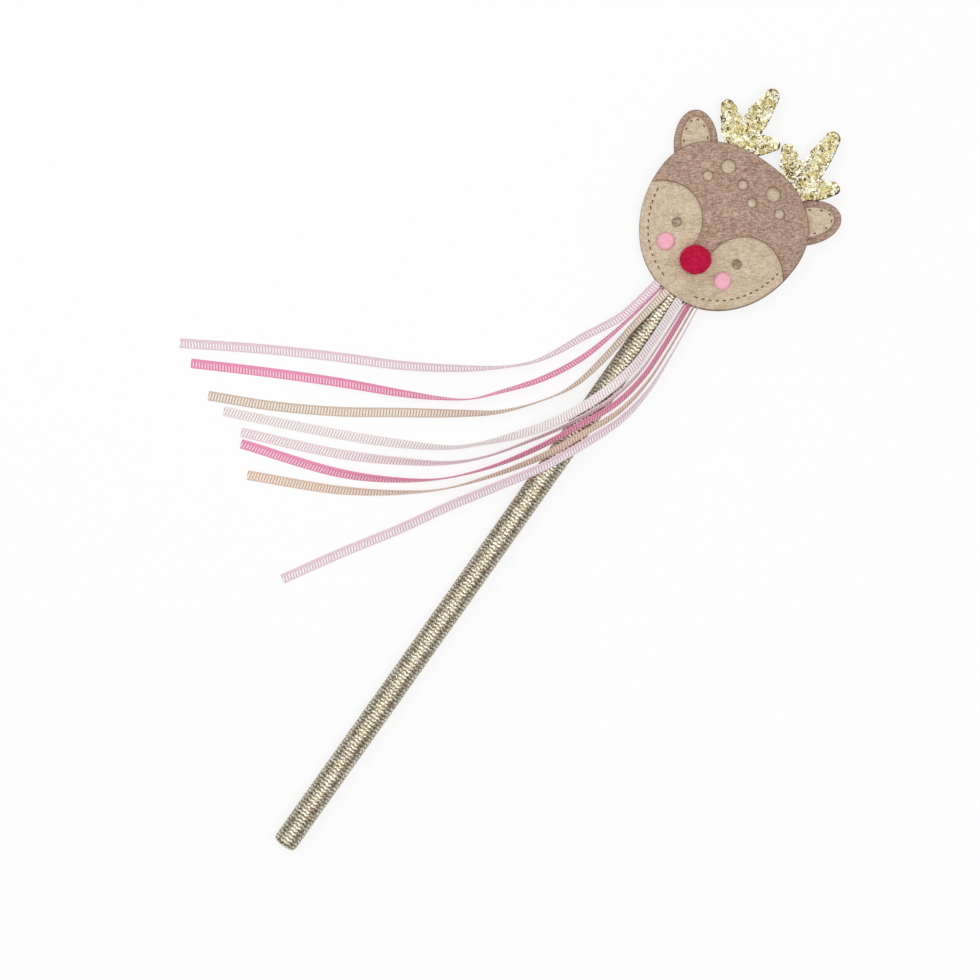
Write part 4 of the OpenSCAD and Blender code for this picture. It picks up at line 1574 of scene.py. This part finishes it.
@dataclass
class Ear:
    """A felt ear with a stitched patch, sewn in at the rim."""

    side: Side
    place: float = 58
    lean: float = 42
    reach: float = 13.5 * MM
    width: float = 17.8 * MM
    foot: float = -0.5 * MM
    edge: float = 2.8 * MM
    tuck: float = 3.5 * MM
    felt: float = 0.9 * MM
    spacing: float = 0.9 * MM
    patch_top: float = 0.95 * MM
    # Strength of the painted shade along the patch's edge
    patch_edge_shade: float = 0.9
    crown_points: int = 61
    flank_points: int = 7
    foot_points: int = 16
    stitch_turns: tuple[float, ...] = (12, 44, 76, 108, 138, 168)
    stitch_inset: float = 1.2 * MM
    stitch_length: float = 1.3 * MM
    next_turn: float = 0.02
    bend: Range = (-0.5 * MM, 4 * MM)

    @property
    def sway(self) -> float:
        """Sideways drift of the ear's tip."""
        return {Side.LEFT: 1.0 * MM, Side.RIGHT: 0.4 * MM}[self.side]

    def to_frame(self, local: np.ndarray) -> np.ndarray:
        """Turns points of the ear's own frame, +Y outwards, into the wand's.

        Args:
            local: Rows of X and Y from the ear's root.

        Returns:
            Rows of X and Y.
        """
        base = FORM.rim(np.radians([90 - self.side.value * self.place]))[0]
        a = math.radians(-self.side.value * self.lean)
        turn = np.array([[math.cos(a), -math.sin(a)], [math.sin(a), math.cos(a)]])
        swayed = local + np.outer(local[:, 1] / self.reach, (self.sway, 0.0))
        return base + swayed @ turn.T

    def arch_points(self, turns: np.ndarray, inset: float) -> np.ndarray:
        """Points on the ear's arch, or inside it by the inset, in the ear's own frame."""
        half, rise = self.width / 2 - inset, self.reach - self.foot - inset
        return np.column_stack([half * np.cos(turns), self.foot + rise * np.sin(turns)])

    def shape(self, inset: float) -> np.ndarray:
        """Outline of the ear or, inset, of its patch: an arch on straight flanks.

        Args:
            inset: Distance inwards from the ear's edge.

        Returns:
            Rows of X and Y.
        """
        half = self.width / 2 - inset
        crown = self.arch_points(np.radians(np.linspace(0, 180, self.crown_points)), inset)
        flank = np.linspace(self.foot, -self.tuck, self.flank_points)[1:]
        foot = np.linspace(-half, half, self.foot_points)[1:-1]
        left, right = (np.full_like(flank, x) for x in (-half, half))
        rows = ((left, flank), (foot, np.full_like(foot, -self.tuck)), (right, flank[::-1]))
        return self.to_frame(np.vstack([crown] + [np.column_stack(row) for row in rows]))

    def stitches(self) -> list[Triple]:
        """Middle X and Y and direction of each stitch on the patch.

        Returns:
            The stitches from one flank over the top to the other.
        """
        turns = np.radians(self.stitch_turns)
        spots, nexts = (self.to_frame(self.arch_points(turns + more, self.edge + self.stitch_inset))
                        for more in (0.0, self.next_turn))
        return [(x, y, math.atan2(dy, dx)) for (x, y), (dx, dy) in zip(spots, nexts - spots)]

    def build(self) -> None:
        """Builds the ear, its patch and its stitches, and lists them."""
        word, body = self.side.word, f"ear_{self.side.word}"
        low = level_at(FORM.seam_z - FORM.gap)
        level = level_at(FORM.seam_z + FORM.gap + self.patch_top)
        outer = Sheet(f"ear_felt_{word}", Cut([self.shape(0)]), low, self.felt, BROWN_FELT,
                      self.spacing).build()
        inner = Sheet(f"ear_patch_{word}", Cut([self.shape(self.edge)]), level, self.felt, BEIGE_FELT,
                      self.spacing, edge_shade=self.patch_edge_shade).build()
        thread = thread_loops(f"ear_thread_{word}", self.stitches(), level, self.stitch_length)
        bend_at_rim(self.to_frame(np.array([(0.0, y) for y in self.bend])), (
            (outer, BROWN_FELT, f"{body}_outer"),
            (inner, BEIGE_FELT, f"{body}_inner"),
            (thread, THREAD, f"{body}_stitches")))


@dataclass
class Antler:
    """An antler of glitter sheet on a dark backing, sewn in at the rim."""

    side: Side
    rise: float = 26.3 * MM
    tine_r: float = 3.1 * MM
    # X of each tine's end in mm, and its height and width as shares of the tallest one and of tine_r
    tines: tuple[Triple, ...] = ((-0.4, 1.0, 1.25), (-11.8, 0.44, 1.22), (10.6, 0.37, 1.1))
    palm: Range = (-0.9 * MM, 3.2 * MM)
    palm_share: float = 1.85
    leaf_low: float = 0.5
    leaf_high: float = 1.2
    leaf_turn: Range = (0.2, 0.68)
    notch_round: float = 1.2 * MM
    shrink: float = 0.15 * MM
    search_step: float = 0.1 * MM
    outline_points: int = 260
    sheet: float = 0.85 * MM
    sheet_spacing: float = 0.8 * MM
    sheet_tone: float = 0.3
    # Dark edge of the glitter sheet: partly its own cut edge, partly painted shade
    edge_tone: float = 0.9
    backing: float = 0.6 * MM
    backing_spacing: float = 1.2 * MM
    # The dark backing is shifted to the lower right so that it peeks out there as a line of painted
    # shade
    backing_shade_shift: Range = (0.5 * MM, -0.1 * MM)
    flakes: int = 1500
    tries_per_flake: int = 6
    flake_share: float = 0.965
    flake_size: Range = (0.45, 0.95)
    flake_corners: int = 6
    flake_half: float = 0.03 * MM
    flake_lift: float = 0.16 * MM
    flake_tilt: float = 0.32
    # Painted glints: share of near-white flakes, how much a noise gathers them in clusters, and its
    # clusters to the metre
    glint_share: float = 0.45
    glint_cluster: float = 0.75
    glint_clusters_per_metre: float = 330.0
    dark_share: float = 0.11
    dark_tones: Range = (0.0, 0.16)
    middle_tones: Range = (0.24, 0.56)
    # Tones of the near-white flakes, the painted glints
    glint_tones: Range = (0.75, 1.0)
    gloom_place: Range = (-4 * MM, 4 * MM)
    gloom_r: float = 6 * MM
    bend: Range = (-0.5 * MM, 4 * MM)
    seed: int = 21

    @property
    def x(self) -> float:
        """Sideways place of the antler."""
        return {Side.LEFT: -13.2 * MM, Side.RIGHT: 16.6 * MM}[self.side]

    @property
    def gloom(self) -> float:
        """Extra share of dark flakes near the antler's root."""
        return {Side.LEFT: 0.0, Side.RIGHT: 0.3}[self.side]

    @property
    def rim_y(self) -> float:
        """Height of the rim over the head's middle at the antler."""
        share = abs(self.x) / FORM.half_width
        return FORM.up * (1 - share ** FORM.top_power) ** (1 / FORM.top_power)

    def leaf(self, along: float) -> float:
        """Width of a tine at a share of its length, as a share of its usual width."""
        swell = math.sin(math.pi * (self.leaf_turn[0] + self.leaf_turn[1] * along))
        return self.leaf_low + (self.leaf_high - self.leaf_low) * swell

    def reach(self, angle: float) -> float:
        """Distance from the root to the outline in one direction.

        Args:
            angle: Direction in radians.

        Returns:
            The distance in metres.
        """
        top = FORM.up + self.rise - self.rim_y - self.tine_r * self.tines[0][2]
        tip = 1 - self.leaf(1.0)
        ends = [(Vector((x * MM, share * top)), r * self.tine_r) for x, share, r in self.tines]
        ends = [(end + end.normalized() * (tip * r), r) for end, r in ends]
        palm = Vector(self.palm)
        way = Vector((math.cos(angle), math.sin(angle)))

        def depth(distance: float) -> float:
            """Distance from the outline, negative inside.

            Args:
                distance: Distance from the root.

            Returns:
                The distance in metres.
            """
            spot = way * distance
            fields = [(spot - palm).length - self.palm_share * self.tine_r]
            for end, r in ends:
                along = min(1.0, max(0.0, spot.dot(end) / end.length_squared))
                fields.append((spot - end * along).length - r * self.leaf(along))
            total = sum(math.exp(-f / self.notch_round * 2) for f in fields)
            return -math.log(total) * self.notch_round / 2 + self.shrink

        distance = 2 * self.rise
        while depth(distance) > 0 and distance > self.search_step:
            distance -= self.search_step
        return distance

    def build(self) -> None:
        """Builds the sheet, its flakes and its backing, and lists them."""
        word, body = self.side.word, f"antler_{self.side.word}"
        root = np.array([self.x, FORM.centre_y + self.rim_y])
        angles = even_turns(self.outline_points)
        reach = np.array([self.reach(a) for a in angles])
        loop = root + np.column_stack([reach * np.cos(angles), reach * np.sin(angles)])
        level, under = FORM.seam_z + self.sheet, FORM.seam_z - FORM.gap
        sheet = Sheet(f"antler_glitter_{word}", Cut([loop]), level_at(level), self.sheet, GOLD_GLITTER,
                      self.sheet_spacing, edge_shade=self.edge_tone).build()
        mark(sheet, "flake_tone", np.full(len(sheet.data.vertices), self.sheet_tone))
        backing = Sheet(f"antler_back_{word}", Cut([loop + self.backing_shade_shift]), level_at(under),
                        self.backing, ANTLER_BACKING, self.backing_spacing, edge_shade=0.0).build()
        flakes = self.build_flakes(Cut([root + (loop - root) * self.flake_share]), level)
        way = np.array([self.x, self.rim_y]) / math.hypot(self.x, self.rim_y)
        bend_at_rim([root + way * length for length in self.bend], (
            (sheet, GOLD_GLITTER, f"{body}_glitter"),
            (flakes, GOLD_GLITTER),
            (backing, ANTLER_BACKING, f"{body}_backing")))

    def flake_tone(self, draw: random.Random, x: float, y: float) -> float:
        """Draws a flake's tone: dark, middling, or bright as a painted glint.

        Args:
            draw: Where the random numbers come from.
            x: The flake's X.
            y: The flake's Y.

        Returns:
            The tone from 0 to 1.
        """
        gloom_x = self.x + self.gloom_place[0]
        gloom_y = FORM.centre_y + self.rim_y + self.gloom_place[1]
        away = (x - gloom_x) ** 2 + (y - gloom_y) ** 2
        dark = self.dark_share + self.gloom * math.exp(-away / self.gloom_r ** 2)
        spot = Vector((x, y, 0.0)) * self.glint_clusters_per_metre + Vector((0.0, 0.0, self.side.value))
        # Painted glints gather in clusters where the noise is high
        bright = self.glint_share + self.glint_cluster * noise.noise(spot)
        kind = draw.random()
        if kind < dark:
            return draw.uniform(*self.dark_tones)
        return draw.uniform(*(self.glint_tones if kind > 1 - bright else self.middle_tones))

    def build_flakes(self, cut: Cut, level: float) -> Piece:
        """Scatters tilted six-sided flakes over the sheet.

        Args:
            cut: The antler's pattern piece.
            level: Height of the sheet's top.

        Returns:
            The flakes as one object.
        """
        draw = random.Random(self.seed + self.side.value)
        ends = list(zip(cut.loops[0].min(0), cut.loops[0].max(0)))
        tries = np.array([[draw.uniform(low, high) for low, high in ends]
                          for _ in range(self.tries_per_flake * self.flakes)])
        points: list[Vector] = []
        faces: list[tuple[int, ...]] = []
        tones: list[float] = []
        for x, y in tries[cut.inside(tries)][:self.flakes]:
            size = draw.uniform(*self.flake_size) * MM
            tone = self.flake_tone(draw, x, y)
            turn = Matrix.Rotation(draw.uniform(0, 1) * math.pi, 3, "Z")
            axis = Vector((draw.gauss(0, 1), draw.gauss(0, 1), 0)).normalized()
            turn = Matrix.Rotation(abs(draw.gauss(0, self.flake_tilt)), 3, axis) @ turn
            spot = Vector((x, y, level + self.flake_lift))
            faces += tube_faces(2, self.flake_corners, len(points))
            for z in (-self.flake_half, self.flake_half):
                for a in even_turns(self.flake_corners):
                    points.append(spot + turn @ Vector((size * math.cos(a), size * math.sin(a), z)))
                    tones.append(tone)
        piece = mesh_object(f"antler_flakes_{self.side.word}", points, faces, GOLD_GLITTER.material())
        piece.data.shade_flat()
        mark(piece, "flake_tone", tones)
        return piece


# Finish of each ribbon, and how far its ribs slant
WEAVES = ((LIGHT_PINK, -0.25), (HOT_PINK, -0.25), (BEIGE, 0.2), (WHITE, 0.45), (PALE_PINK, 0.5),
          (HOT_PINK, 0.5), (PEACH, 0.35), (LIGHT_PINK, 0.3))


def main() -> None:
    """Builds the scene in order."""
    logging.basicConfig(level=logging.INFO, format="%(name)s: %(message)s")
    studio = Studio()
    studio.build_camera()
    for place, (tint, slant) in enumerate(WEAVES, 1):
        Ribbon(place, tint, slant).build()
    Stick().build()
    Head().build()
    Face().build()
    for side in Side:
        Ear(side).build()
        Antler(side).build()
    studio.build_light()


if __name__ == "__main__":
    main()
